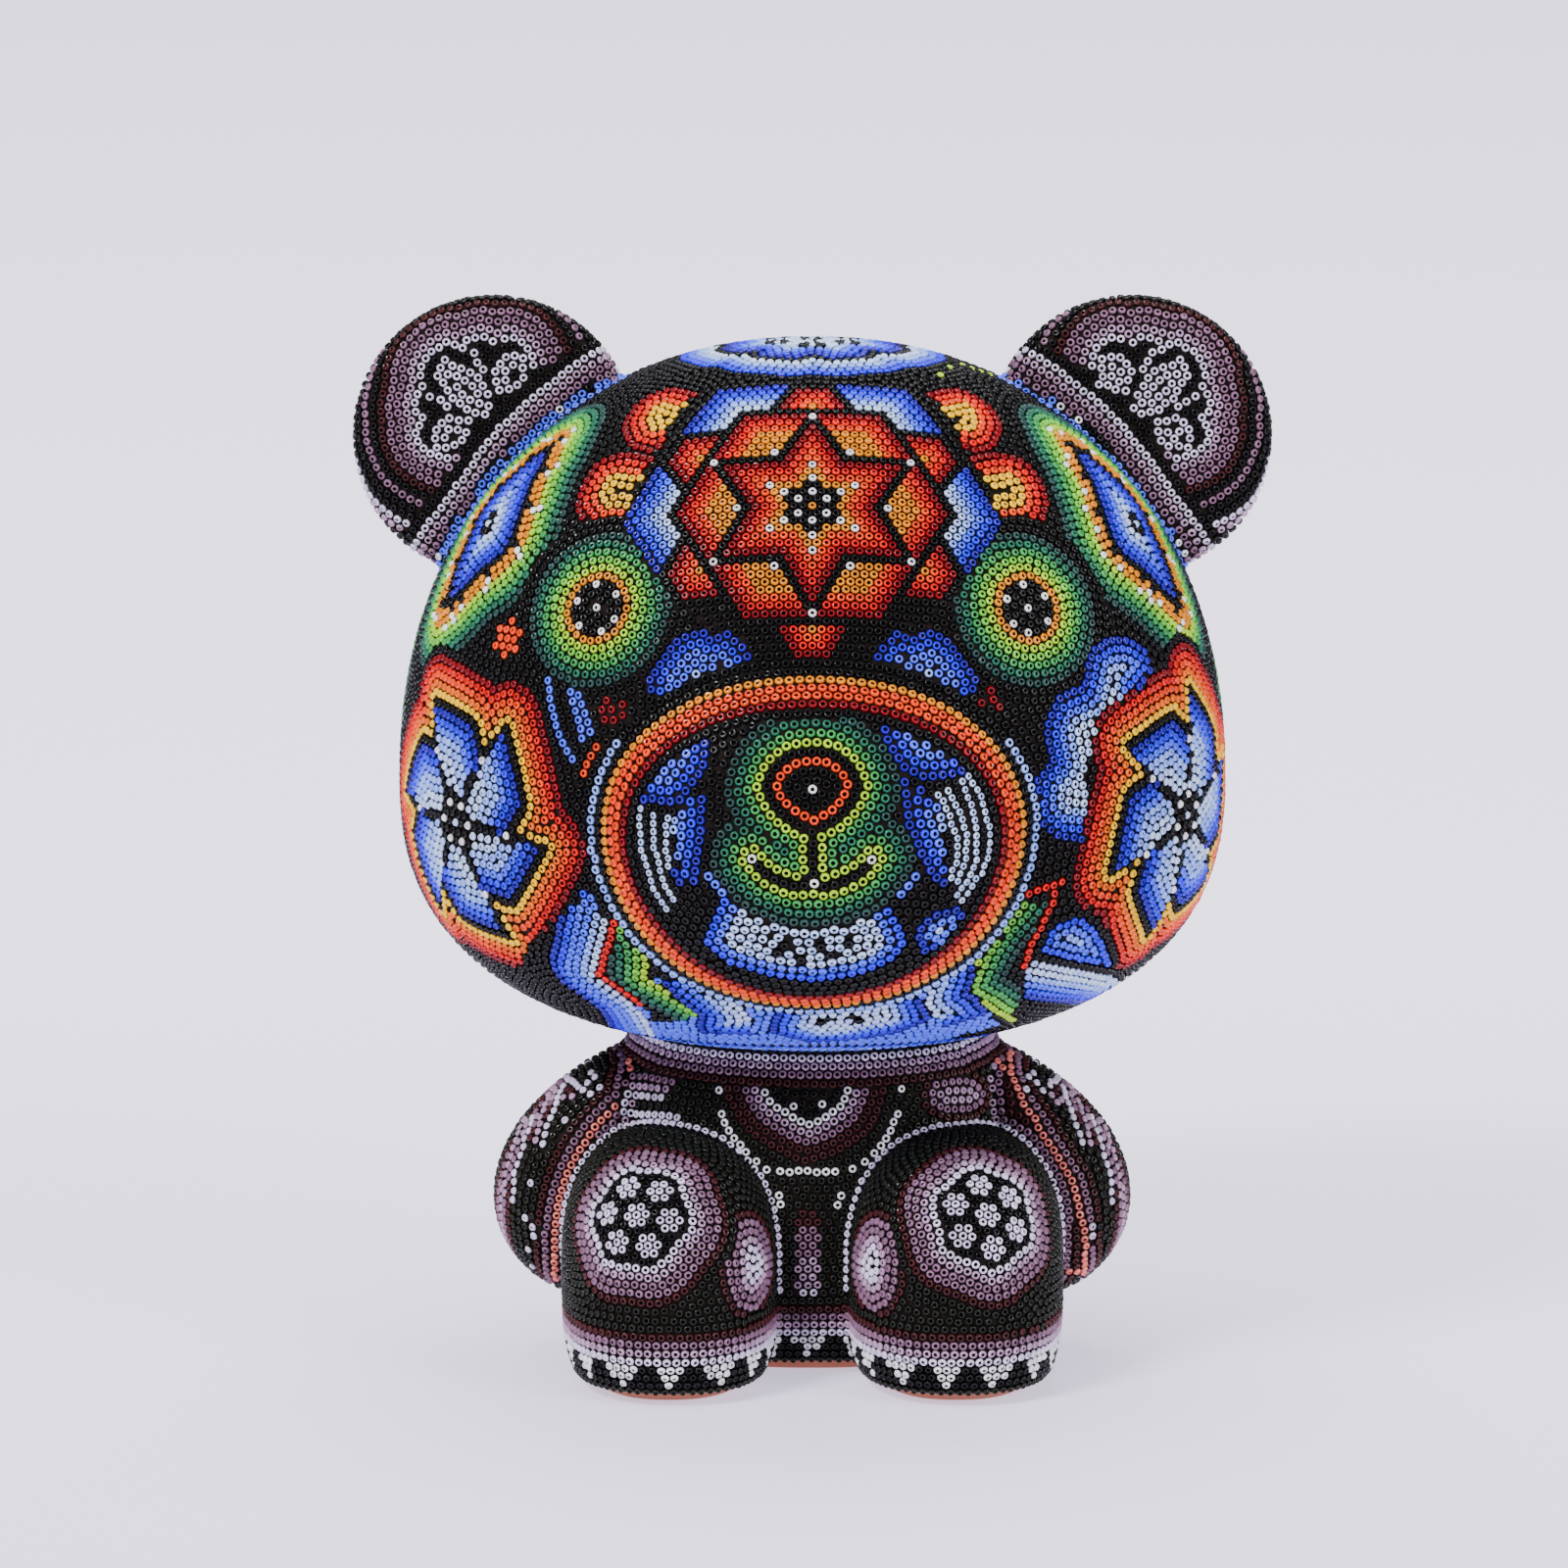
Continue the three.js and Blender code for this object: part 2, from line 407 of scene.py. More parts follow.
class Beadwork:
    """The beads laid so far: where each one sits, which way its hole faces, and its colour."""

    CELL = 2.2  # size of the cells that beads are looked up in
    BATCH = 32  # places on an edge that are measured together
    BRIDGE = 0.98  # two beads hold a third between them up to this part of two spacings
    LEAST_RISE = 0.2  # unless its squared distance from the line between them is under this
    SQUEEZE = 0.9  # and it keeps this part of a spacing to the others
    GAP_SPACINGS = (2.5, 2.2)  # the filling is pushed apart to each of these, and its gaps are filled again
    ROUNDS = 12  # of pushing
    SEARCH_EVERY = 4  # rounds, since a bead's neighbours hardly change
    SEARCH_WIDER = 1.25  # than the reach, for the same reason
    DRAWN_EASE = 0.12  # part of a push that a bead of a drawn pattern follows
    FILLED_EASE = 0.5
    LONGEST_PUSH = 0.6
    LEAST_GAP = 0.1  # so that two beads in one place aren't thrown apart

    def __init__(self, skin):
        self.skin = skin
        self.spots = []
        self.normals = []
        self.paints = []
        self.sizes = []
        self.size = 1.0  # of the beads being laid, against the usual one
        self.cells = {}
        self.allowed = np.ones(len(skin.points), dtype=bool)

    def keep_to(self, *names):
        """From now on beads are laid only on these body parts."""
        self.allowed = np.isin(self.skin.part, [NAMES.index(name) for name in names])

    @staticmethod
    def cell(spot):
        return tuple(int(spot[axis] // Beadwork.CELL) for axis in range(3))

    def near(self, spot, reach):
        """The beads within reach of a place, nearest first. Reach is at most two cells."""
        a, b, c = self.cell(spot)
        span = 1 if reach <= self.CELL else 2
        found = []
        limit = reach * reach
        x, y, z = spot
        for i in range(a - span, a + span + 1):
            for j in range(b - span, b + span + 1):
                for k in range(c - span, c + span + 1):
                    for bead in self.cells.get((i, j, k), ()):
                        p = self.spots[bead]
                        gap = (p[0] - x) ** 2 + (p[1] - y) ** 2 + (p[2] - z) ** 2
                        if gap < limit:
                            found.append((gap, bead))
        found.sort()
        return found

    def lay(self, spot, paint, room=ROW_ROOM):
        """Presses one bead in where the wax is free."""
        spot, normal, corner = self.skin.drop(spot)
        if spot.z < BEAD_HEM - HEM_SLACK or not self.allowed[corner] or self.near(spot, room * self.size):
            return None
        bead = len(self.spots)
        self.spots.append((spot.x, spot.y, spot.z))
        self.normals.append(normal)
        self.paints.append(paint)
        self.sizes.append(self.size)
        self.cells.setdefault(self.cell(spot), []).append(bead)
        return bead

    def lay_row(self, line, closed, colour, room=ROW_ROOM):
        """Lays beads at even spacing along a line. colour is a name, or a function of the bead's number and
        place."""
        line = np.array(line)
        if closed:
            line = np.vstack((line, line[:1]))
        steps = np.linalg.norm(np.diff(line, axis=0), axis=1)
        along = np.concatenate(([0], np.cumsum(steps)))
        total = along[-1]
        spacing = SPACING * self.size
        if closed and total < 2 * spacing:
            spot = line.mean(axis=0)
            self.lay(Vector(spot), INDEX[colour(0, spot) if callable(colour) else colour], room)
            return
        count = max(2, round(total / spacing)) if closed else int(total / spacing) + 1
        spacing = total / count if closed else spacing
        for k in range(count):
            spot = Vector([np.interp(k * spacing, along, line[:, axis]) for axis in range(3)])
            name = colour(k, spot) if callable(colour) else colour
            self.lay(spot, INDEX[name], room)

    def line(self, chart, points, colour, closed=False):
        """A row of beads along a drawn line."""
        spots = [tuple(chart.at(u, v)) for u, v in divided(points, closed)]
        self.lay_row(spots, closed, colour)

    def dot(self, chart, u, v, colour):
        """A single bead."""
        self.lay(chart.at(u, v), INDEX[colour], DOT_ROOM)

    def dots(self, chart, places, colour):
        """Single beads of one colour."""
        for u, v in places:
            self.dot(chart, u, v, colour)

    def shape(self, chart, outline, inward, outward=(), shaded=None, core=True):
        """Rows of beads nested inside and round an outline. The first inward colour lies on the outline
        itself, and the last one fills what is left if there is a core. With shaded, only that many of the
        outline's points carry the edge that the rows follow."""
        drawn = divided(outline[:shaded], closed=False) if shaded else divided(outline)
        edge = np.array([tuple(chart.at(u, v)) for u, v in drawn])
        within = lambda p, n: inside(outline, chart.local(p, n))
        self.nest(edge, within, inward, outward, shaded is not None, core)

    def nest(self, edge, is_inside, inward, outward=(), one_sided=False, core=True, lay_edge=True):
        """Rows of beads inside and round an edge. is_inside tells which points, with normals, lie inside."""
        skin, pitch = self.skin, ROW * self.size
        middle = edge.mean(axis=0)
        radius = np.linalg.norm(edge - middle, axis=1).max() + pitch * (len(outward) + 2)
        chosen = np.flatnonzero((np.linalg.norm(skin.points - middle, axis=1) < radius) & self.allowed)
        points = skin.points[chosen]
        gaps = np.full(len(chosen), np.inf)
        for start in range(0, len(edge), self.BATCH):
            block = edge[start:start + self.BATCH]
            gaps = np.minimum(gaps, np.linalg.norm(points[:, None] - block[None], axis=2).min(axis=1))
        within = is_inside(points, skin.normals[chosen])
        values = np.full(len(skin.points), np.nan)
        values[chosen] = np.where(within, -gaps, np.nan if one_sided else gaps)
        for row, colour in enumerate(outward, 1):
            for line, closed in skin.contours(values, row * pitch):
                self.lay_row(line, closed, colour)
        if inward and lay_edge:
            self.lay_row(edge, not one_sided, inward[0])
        depth = gaps[within].max() if within.any() else 0
        rows = math.ceil(depth / pitch) if core and inward else len(inward)
        for row in range(1, rows):
            for line, closed in skin.contours(values, -row * pitch):
                self.lay_row(line, closed, inward[min(row, len(inward) - 1)])
        self.paint_rows(chosen, values[chosen], inward, outward, core)

    def paint_rows(self, chosen, values, inward, outward, core):
        """Paints the skin with the colours of the rows, for the beads that fill what the rows leave."""
        chosen, values = chosen[np.isfinite(values)], values[np.isfinite(values)]
        rows = np.round(values / (ROW * self.size)).astype(int)
        for corner, row in zip(chosen, rows):
            if self.skin.paint[corner] != BARE:
                continue
            colour = None
            if row <= 0 and inward and (core or -row < len(inward)):
                colour = inward[min(-row, len(inward) - 1)]
            elif 0 < row <= len(outward):
                colour = outward[row - 1]
            if callable(colour):
                colour = colour(0, self.skin.points[corner])
            if colour is not None:
                self.skin.paint[corner] = INDEX[colour]

    def tint(self, chart, outline, colour):
        """Paints the bare skin inside an outline, for the beads that fill it."""
        within = inside(outline, chart.local(self.skin.points, self.skin.normals))
        self.skin.paint[within & self.allowed & (self.skin.paint == BARE)] = INDEX[colour]

    def fill(self, ground):
        """Lays beads in all the wax that is left, each one touching two that are there already."""
        self.allowed[:] = True
        drawn = len(self.spots)
        queue = list(range(drawn))
        for bead in queue:
            spot = Vector(self.spots[bead])
            normal = self.normals[bead]
            self.size = self.sizes[bead]
            touching = SPACING * self.size
            for gap, other in self.near(spot, 2 * touching * self.BRIDGE)[1:]:
                across = Vector(self.spots[other]) - spot
                middle = spot + across / 2
                rise = touching ** 2 - gap / 4
                if rise < self.LEAST_RISE:
                    continue
                away = normal.cross(across).normalized() * math.sqrt(rise)
                for place in (middle + away, middle - away):
                    made = self.lay(place, BARE, touching * self.SQUEEZE / self.size)
                    if made is not None:
                        queue.append(made)
        for reach in self.GAP_SPACINGS:
            self.settle(drawn, reach)
            self.size = 1.0
            for point in self.skin.points:
                self.lay(Vector(point), BARE, GAP_ROOM)
        self.settle(drawn, TOUCHING)
        for bead in range(drawn, len(self.spots)):
            self.paints[bead] = ground(self.spots[bead])

    def settle(self, drawn, reach):
        """Pushes beads closer than a reach apart over the wax. Those of the drawn patterns hardly move."""
        spots = np.array(self.spots)
        sizes = np.array(self.sizes)
        ease = np.where(np.arange(len(spots)) < drawn, self.DRAWN_EASE, self.FILLED_EASE)
        for turn in range(self.ROUNDS):
            if turn % self.SEARCH_EVERY == 0:
                one, other = self.neighbours(spots, reach * self.SEARCH_WIDER)
            across = spots[other] - spots[one]
            gap = np.linalg.norm(across, axis=1)
            push = np.clip(reach * (sizes[one] + sizes[other]) / 2 - gap, 0, self.LONGEST_PUSH)
            shift = across * (push / np.maximum(gap, self.LEAST_GAP))[:, None]
            np.add.at(spots, one, -shift * ease[one, None])
            np.add.at(spots, other, shift * ease[other, None])
        self.cells = {}
        for bead, spot in enumerate(spots):
            place, normal, _ = self.skin.drop(Vector(spot))
            self.spots[bead] = (place.x, place.y, max(place.z, BEAD_HEM - HEM_PUSH))
            self.normals[bead] = normal
            self.cells.setdefault(self.cell(place), []).append(bead)

    @staticmethod
    def neighbours(spots, reach):
        """Every two beads within reach of each other, as two lists."""
        tree = KDTree(len(spots))
        for bead, spot in enumerate(spots):
            tree.insert(spot, bead)
        tree.balance()
        pairs = []
        for bead, spot in enumerate(spots):
            pairs += [(bead, other) for _, other, _ in tree.find_range(spot, reach) if other > bead]
        return np.array(pairs).T


# ---- The patterns ----

BLUES = ("navy", "royal", "blue", "light_blue", "pale_blue")
FIRE = ("dark_red", "red", "flame", "yellow")
EMBERS = ("black", "dark_red", "red", "flame", "gold")
GREENS = ("lime", "light_green", "green", "teal", "dark_teal")
MOSSES = ("lime", "green", "teal", "dark_teal")
PLUMS = ("maroon", "mauve", "light_mauve", "lilac")
SIDES = (1, -1)  # right, then left
RISE = math.sqrt(3) / 2  # from row to row of beads that nest between each other, in beads
STAR_ROWS = 24  # from the star's middle to beyond its last row
STAR_SPACING = SPACING * 1.01
STAR_POINT = 7  # rows from the star's middle to its inner corners
STAR_EDGE = 15  # rows from its middle to the black hexagon round it
SHOULDER = 95  # arms and legs are all below this height


def sided(part, side):
    """The name of a body part on one side."""
    return part + ("_right" if side > 0 else "_left")


def longest(lines):
    return max(lines, key=lambda found: len(found[0]))


def seam(skin, name, others, where=True):
    """The longest crease where one body part meets others, among the points picked by where."""
    rest = np.min([skin.measures[NAMES.index(other)] for other in others], axis=0)
    values = np.where(where, skin.measures[NAMES.index(name)] - rest, np.nan)
    return longest(skin.contours(values, 0))


def on_part(name, others):
    """A test for which points lie on one body part rather than on others."""
    def test(points, normals):
        rest = np.min([squareness(PARTS[other], points, -WAX_DEPTH) for other in others], axis=0)
        return squareness(PARTS[name], points, -WAX_DEPTH) < rest
    return test


def every(count, first, other):
    """A row colour that puts one bead of a colour before count - 1 of another."""
    return lambda number, spot: first if number % count == 0 else other


def star_colour(x, row):
    """The colour at a place in the forehead star, in beads across and rows up, or None outside it."""
    ranks = (row, -(x + row / 2), x - row / 2)
    far = sorted(abs(rank) for rank in ranks)
    hexagon = far[2]
    points = max(STAR_POINT + min(ranks), STAR_POINT - max(ranks))
    on_ray = far[0] == far[1]
    if hexagon == 0:
        return "gold"
    if on_ray and hexagon in (2, 4, 6, 14):
        return "white"
    if math.hypot(x, row * RISE) < 2.7:
        return "black"
    if hexagon < STAR_EDGE and points >= 0:
        return EMBERS[min(int(points), 4)]
    if hexagon < STAR_EDGE:
        return "white" if far == [0, 8, 8] else EMBERS[min(int(STAR_EDGE - hexagon), 4)]
    if hexagon == STAR_EDGE:
        return "black"
    return rays_colour(x, row, ranks, hexagon)


def rays_colour(x, row, ranks, rank):
    """The small triangles on the star's hexagon, and the blue chevrons round its upper corners."""
    along = {0: x, 1: -x / 2 + 0.75 * row, 2: -x / 2 - 0.75 * row}
    side = max(range(3), key=lambda n: abs(ranks[n]))
    reach = 3 - (rank - 16) / 2 - abs(along[side])
    if rank <= 19 and reach >= 0:
        return EMBERS[1:][int(min(reach, 19 - rank))]
    turn = round(math.degrees(math.atan2(row * RISE, x)) / 60) % 6
    if reach < -1.2 and rank <= 20 and turn in (0, 1, 2, 3):
        return BLUES[::-1][int(rank - 16)]
    return "black" if rank <= 17 and reach < 0 or rank <= 20 and reach >= -1.2 else None


def lattice(work, chart, rows, spacing, colour):
    """Beads in straight rows, each nested between two of the next."""
    for row in range(-rows, rows + 1):
        for step in range(-rows, rows + 1):
            x = step + (row % 2) / 2
            name = colour(x, row)
            if name:
                work.lay(chart.at(x * spacing, row * spacing * RISE), INDEX[name])


def star(work, chart):
    lattice(work, chart, STAR_ROWS, STAR_SPACING, star_colour)


def flower(work, chart):
    """Six black beads round a pale one."""
    work.dot(chart, 0, 0, "pale_blue")
    lattice(work, chart, 1, SPACING, lambda x, row: "black" if math.hypot(x, row) < 1.5 else None)


def oval(work, centre, size, rows):
    """An oval of nested rows with a black rim, laid round a place."""
    work.shape(PatchChart(work.skin, centre), ellipse(*size), rows, outward=("black",))


def eye(work, side):
    roundel(work, PatchChart(work.skin, FrontChart(work.skin, side).at(51.5, 179.3)))


def roundel(work, chart):
    """Rings from green to gold round a black middle."""
    work.dot(chart, 0, 0, "white")
    rings = GREENS[::-1] + ("gold", every(3, "white", "black"), "black")
    work.shape(chart, ellipse(9 * ROW, 9 * ROW), rings, outward=("black", "black"))


def flames(work, side):
    """Two fire-coloured shapes beside the forehead star."""
    front = FrontChart(work.skin, side)
    upper = [(28.5, 230), (33, 231.2), (38, 230), (42, 227), (44.7, 222.7), (43, 218.5), (38.5, 216.8)]
    upper += [(36.5, 218), (34.4, 223.3), (30, 228.5)]
    work.shape(front, upper, FIRE, shaded=8)
    lower = [(38.5, 214.8), (45.7, 215.6), (50.8, 213.6), (54.4, 208.5), (55.9, 202.8), (52.3, 198.8)]
    lower += [(47.2, 198.6), (44.7, 202.3), (40.6, 210.5)]
    work.shape(front, lower, FIRE, shaded=7)


def cloud(work, side):
    """A blue cloud under an eye."""
    front = FrontChart(work.skin, side)
    outline = [(38.1, 159.7), (38.3, 163), (35.5, 166.8), (33.2, 169.8), (30.5, 172.3), (27.5, 173.4)]
    outline += [(23.9, 171.2), (20.3, 172.6), (17.6, 170.6), (15.6, 167.5), (16.4, 165), (20.5, 161.6)]
    outline += [(24.6, 159.2), (29.5, 157.4), (33.8, 156.4)]
    work.shape(front, outline, ("navy", "royal", "blue", "blue", "light_blue", "pale_blue"), shaded=11)


def long_wave(work):
    """The wavy blue shape down the right of the muzzle."""
    front = FrontChart(work.skin)
    outline = [(64, 124.7), (58.8, 124.7), (54.8, 128.1), (53.7, 133.3), (54.4, 138.4), (57.7, 142.4)]
    outline += [(56.4, 147), (56.6, 152.6), (58.8, 157.2), (65.1, 160), (66.8, 168.6), (70.2, 171.1)]
    outline += [(74.8, 171.4), (78.8, 169.1), (80.8, 164), (77.1, 160), (71.4, 156.6), (67.9, 152.6)]
    outline += [(68.2, 148.1), (66.2, 144.1), (65.7, 139), (65.1, 133.8)]
    work.shape(front, outline, BLUES, shaded=16)


def left_marks(work):
    """A small orange flower and short lines between the left eye and cheek."""
    front = FrontChart(work.skin, -1)
    chart = PatchChart(work.skin, front.at(72.7, 172))
    lattice(work, chart, 2, SPACING, lambda x, row: "flame" if math.hypot(x, row * RISE) < 1.8 else None)
    work.line(front, [(63.3, 161.9), (61, 151), (57.2, 142.4)], "blue")
    work.line(front, [(57.8, 159), (54.5, 147.5)], "blue")
    work.line(front, [(55.8, 158), (52.5, 148.5)], "blue")
    work.line(front, [(51.8, 145.7), (54.7, 139.2)], "flame")
    berries = [(49.3, 157.6), (50.4, 154.9), (48, 155.1), (45.3, 156.5), (49.6, 152.4), (47.3, 152.3)]
    work.dots(front, berries + [(45.3, 153.6)], "dark_red")


def right_marks(work):
    """Two short red lines beside the right cloud."""
    front = FrontChart(work.skin)
    work.line(front, [(39, 158.5), (41, 154.5)], "dark_red")
    work.line(front, [(42.5, 159.5), (44.5, 155.5)], "dark_red")


def muzzle_rings(work):
    """Fire-coloured rings round the muzzle, inside a pale blue row that turns black at the top."""
    skin = work.skin
    line, _ = seam(skin, "head", ["muzzle"], skin.points[:, 1] < -40)
    fading = lambda number, spot: "light_blue" if spot[2] < 163 else "black"
    rings = ("black", "gold", "flame", "flame", "dark_red", "black")
    work.nest(line, on_part("muzzle", ["head"]), rings, outward=(fading,), core=False)


def nose_and_mouth(work, front):
    """A flame-coloured nose and a thin smile, with green rows round both."""
    chart = PatchChart(work.skin, front.at(0, 135.9))
    work.dot(chart, 0, 0, "white")
    half = [(5, 7.9), (9, 4.8), (10.4, 0.5), (9, -3.2), (5, -7)]
    nose = [(0, 8.7)] + half + [(0, -9.6)] + [(-u, v) for u, v in half[::-1]]
    smile = [(-14, -15.9), (-10.3, -20), (-5.6, -22.1), (0, -22.6), (5.6, -22.1), (10.3, -20), (14, -15.9)]
    work.dots(chart, [(-14, -15.9), (0, -21.4), (14, -15.9)], "white")
    work.line(chart, [(0, -9.6), (0, -20)], "black")
    work.line(chart, smile, "black")
    drawn = divided(nose) + divided([(0, -9.6), (0, -21)], False) + divided(smile, False)
    edge = np.array([tuple(chart.at(u, v)) for u, v in drawn])
    within = lambda p, n: inside(nose, chart.local(p, n))
    work.shape(chart, nose, ("black", "flame", "black"))
    work.nest(edge, within, (), MOSSES, core=False)


def muzzle_marks(work, side):
    """The blue shapes, combs and short lines beside the nose and mouth, which differ from side to side."""
    front = FrontChart(work.skin, side)
    if side > 0:
        quad = [(35.4, 139.9), (27.6, 138.9), (22.3, 141.3), (18.4, 146.7), (17.3, 150.5), (17.5, 153.4)]
        quad += [(23.3, 153.2), (27.6, 151.5), (33, 147.1), (36, 142.3)]
        body = [(31.3, 113.5), (28, 117), (25.4, 122.5), (23.4, 128), (21.6, 137.6), (27.6, 135.4)]
        body += [(31, 129.6), (32, 124), (32, 118)]
        combs = [
            [(37.2, 139), (40.4, 133.7), (42, 126.9), (42.3, 120.1), (39.9, 115.3), (35.6, 109)],
            [(35.5, 137.5), (38, 131.7), (39.4, 125.5), (39.2, 119.2), (37, 114.2), (34, 110.6)],
            [(32.6, 135.6), (35.2, 130.8), (36.8, 124.5), (36.4, 118.7), (33.8, 112.4)],
            [(30, 134.6), (32.4, 130), (34.2, 124), (34, 118.7), (32.2, 113.9)],
        ]
        blob = [(26.8, 97.9), (24.9, 101.8), (29.3, 106.1), (35.5, 107.1), (36, 103.7), (31.2, 99.3)]
        work.shape(front, blob, ("navy", "blue", "pale_blue"))
    else:
        quad = [(40.1, 133.6), (32.3, 133.1), (28.5, 138), (26, 141.8), (25.6, 145.7), (25.6, 149.4)]
        quad += [(29.9, 148.8), (35.2, 145.2), (39.6, 140.4), (41.7, 136.5)]
        body = [(32.7, 116), (31, 112.5), (28.4, 114.5), (27, 122), (26.8, 129), (26.6, 134.3), (30, 134)]
        body += [(33.4, 128.8), (33.2, 122)]
        combs = [
            [(43.9, 131), (43.9, 122), (41, 112), (35.5, 103.5)],
            [(40.9, 131), (41, 122), (38.2, 112.5), (34, 106)],
            [(37.8, 129.7), (37.8, 122), (35.6, 114), (32.6, 108.5)],
            [(34.7, 129), (34.9, 122), (33.4, 114.5)],
        ]
    work.shape(front, quad, ("navy", "royal", "blue", "blue", "light_blue"), shaded=6)
    work.shape(front, body, ("navy", "royal", "blue", "light_blue"), shaded=6)
    shades = lambda number, spot: "pale_blue" if spot[2] > 122 else "light_blue" if spot[2] > 113 else "royal"
    work.size = COMB_BEADS
    for comb in combs:
        work.line(front, comb, shades)
    work.size = MUZZLE_BEADS
    work.line(front, [(24.6, 115), (18.4, 108.6)], "blue")


def beard(work, front):
    """A pale blue beard under the mouth, with a few black beads in it."""
    specks = [(-6.8, 98.7), (-8.2, 96.6), (2.6, 98.7), (4.5, 96.6), (8.4, 99.4), (-2.3, 95.2)]
    work.dots(front, specks, "black")
    outline = [(-21, 108.8), (-23, 104), (-25, 99.8), (-20, 95.5), (-10, 92.3), (0, 91), (10, 92.3)]
    outline += [(18, 95.5), (21.5, 99.6), (19.5, 103.6), (16.5, 108.8), (13.5, 106.4), (8, 104), (0, 102.9)]
    outline += [(-8, 104), (-14.5, 106.4)]
    work.shape(front, outline, ("royal", "blue", "pale_blue"), shaded=11)


def rounded(points):
    """An outline drawn in turns round the middle: each point is a reach and an angle in degrees."""
    turned = [(reach, math.radians(turn)) for reach, turn in points]
    return [(reach * math.cos(turn), reach * math.sin(turn)) for reach, turn in turned]


def windmill(work, chart, first_spoke):
    """Six blades round a black flower, each shaded to navy on its outer side, inside fire-coloured teeth."""
    flower(work, chart)
    teeth = []
    for blade in range(6):
        spoke = first_spoke + 60 * blade
        for place, colour in ((0, "white"), (2, "black"), (3, "black"), (4, "black"), (6, "white")):
            work.dots(chart, rounded([(5.2 + place * SPACING, spoke)]), colour)
        tooth = [(18.5, spoke), (25, spoke + 18), (26, spoke + 36), (30, spoke + 57)]
        teeth += rounded(tooth)
        rows = ("black", "navy", "royal", "blue", "light_blue", "light_blue", "pale_blue")
        work.shape(chart, rounded(tooth + [(5, spoke + 57), (5, spoke)]), rows, shaded=4)
    work.shape(chart, teeth, (), outward=("yellow", "orange", "flame", "red", "dark_red", "black"))


def cheek(work, side):
    """The windmills turn the same way on both cheeks, so the left one isn't a mirror image."""
    across, height, first_spoke = (89.4, 129.8, 22) if side > 0 else (85.1, 128.1, -2)
    place = FrontChart(work.skin, side).at(across, height)
    windmill(work, PatchChart(work.skin, place), first_spoke)


def brow_diamond(work, side):
    """A tall blue diamond at the side of the brow, in bands of gold and green."""
    front = FrontChart(work.skin, side)
    flower(work, PatchChart(work.skin, front.at(77.2, 199.3)))
    outline = [(61.5, 218.4), (65.6, 215.8), (70.2, 211.8), (74.8, 207.3), (78.6, 202.3), (81.4, 196.4)]
    outline += [(84.6, 189.1), (88, 179), (84.2, 182), (79, 187.7), (74.1, 191.3), (71.1, 195.7)]
    outline += [(69.2, 201.7), (66.4, 209.4), (63.7, 213.8)]
    bands = (every(5, "black", "gold"), every(5, "white", "gold"), every(6, "white", "lime")) + GREENS[1:]
    work.shape(front, outline, ("black",) + BLUES, outward=bands)


def crown(work):
    """Black flowers inside pale petals, on top of the head."""
    def middle(x, row):
        reach = math.hypot(x, row * RISE)
        return "pale_blue" if reach < 0.5 else "black" if reach < 1.2 else None

    chart = PatchChart(work.skin, (0, HEAD_Y + 3.5, 250), up=(0, 1, 0))
    lattice(work, chart, 1, SPACING, middle)
    for u, v in rounded([(9.5, 60 * petal + 30) for petal in range(6)]):
        for across, up in rounded([(SPACING, 60 * turn) for turn in range(6)]):
            work.dot(chart, u + across, v + up, "black")
    petals = []
    for petal in range(8):
        petals += rounded([(17.5, 45 * petal), (21.5, 45 * petal + 12), (21.5, 45 * petal + 33)])
    work.shape(chart, petals, BLUES, outward=("black", "pale_blue", "light_blue", "blue", "royal", "black"))


def leaves(work):
    """Two small green leaf marks beside the crown."""
    front = FrontChart(work.skin)
    work.line(front, [(25, 235.7), (33, 236.7)], "lime")
    work.line(front, [(36, 236.9), (42.5, 234.6)], "lime")
    work.dots(front, [(28, 237.4), (30.5, 234.8), (32, 238)], "lime")


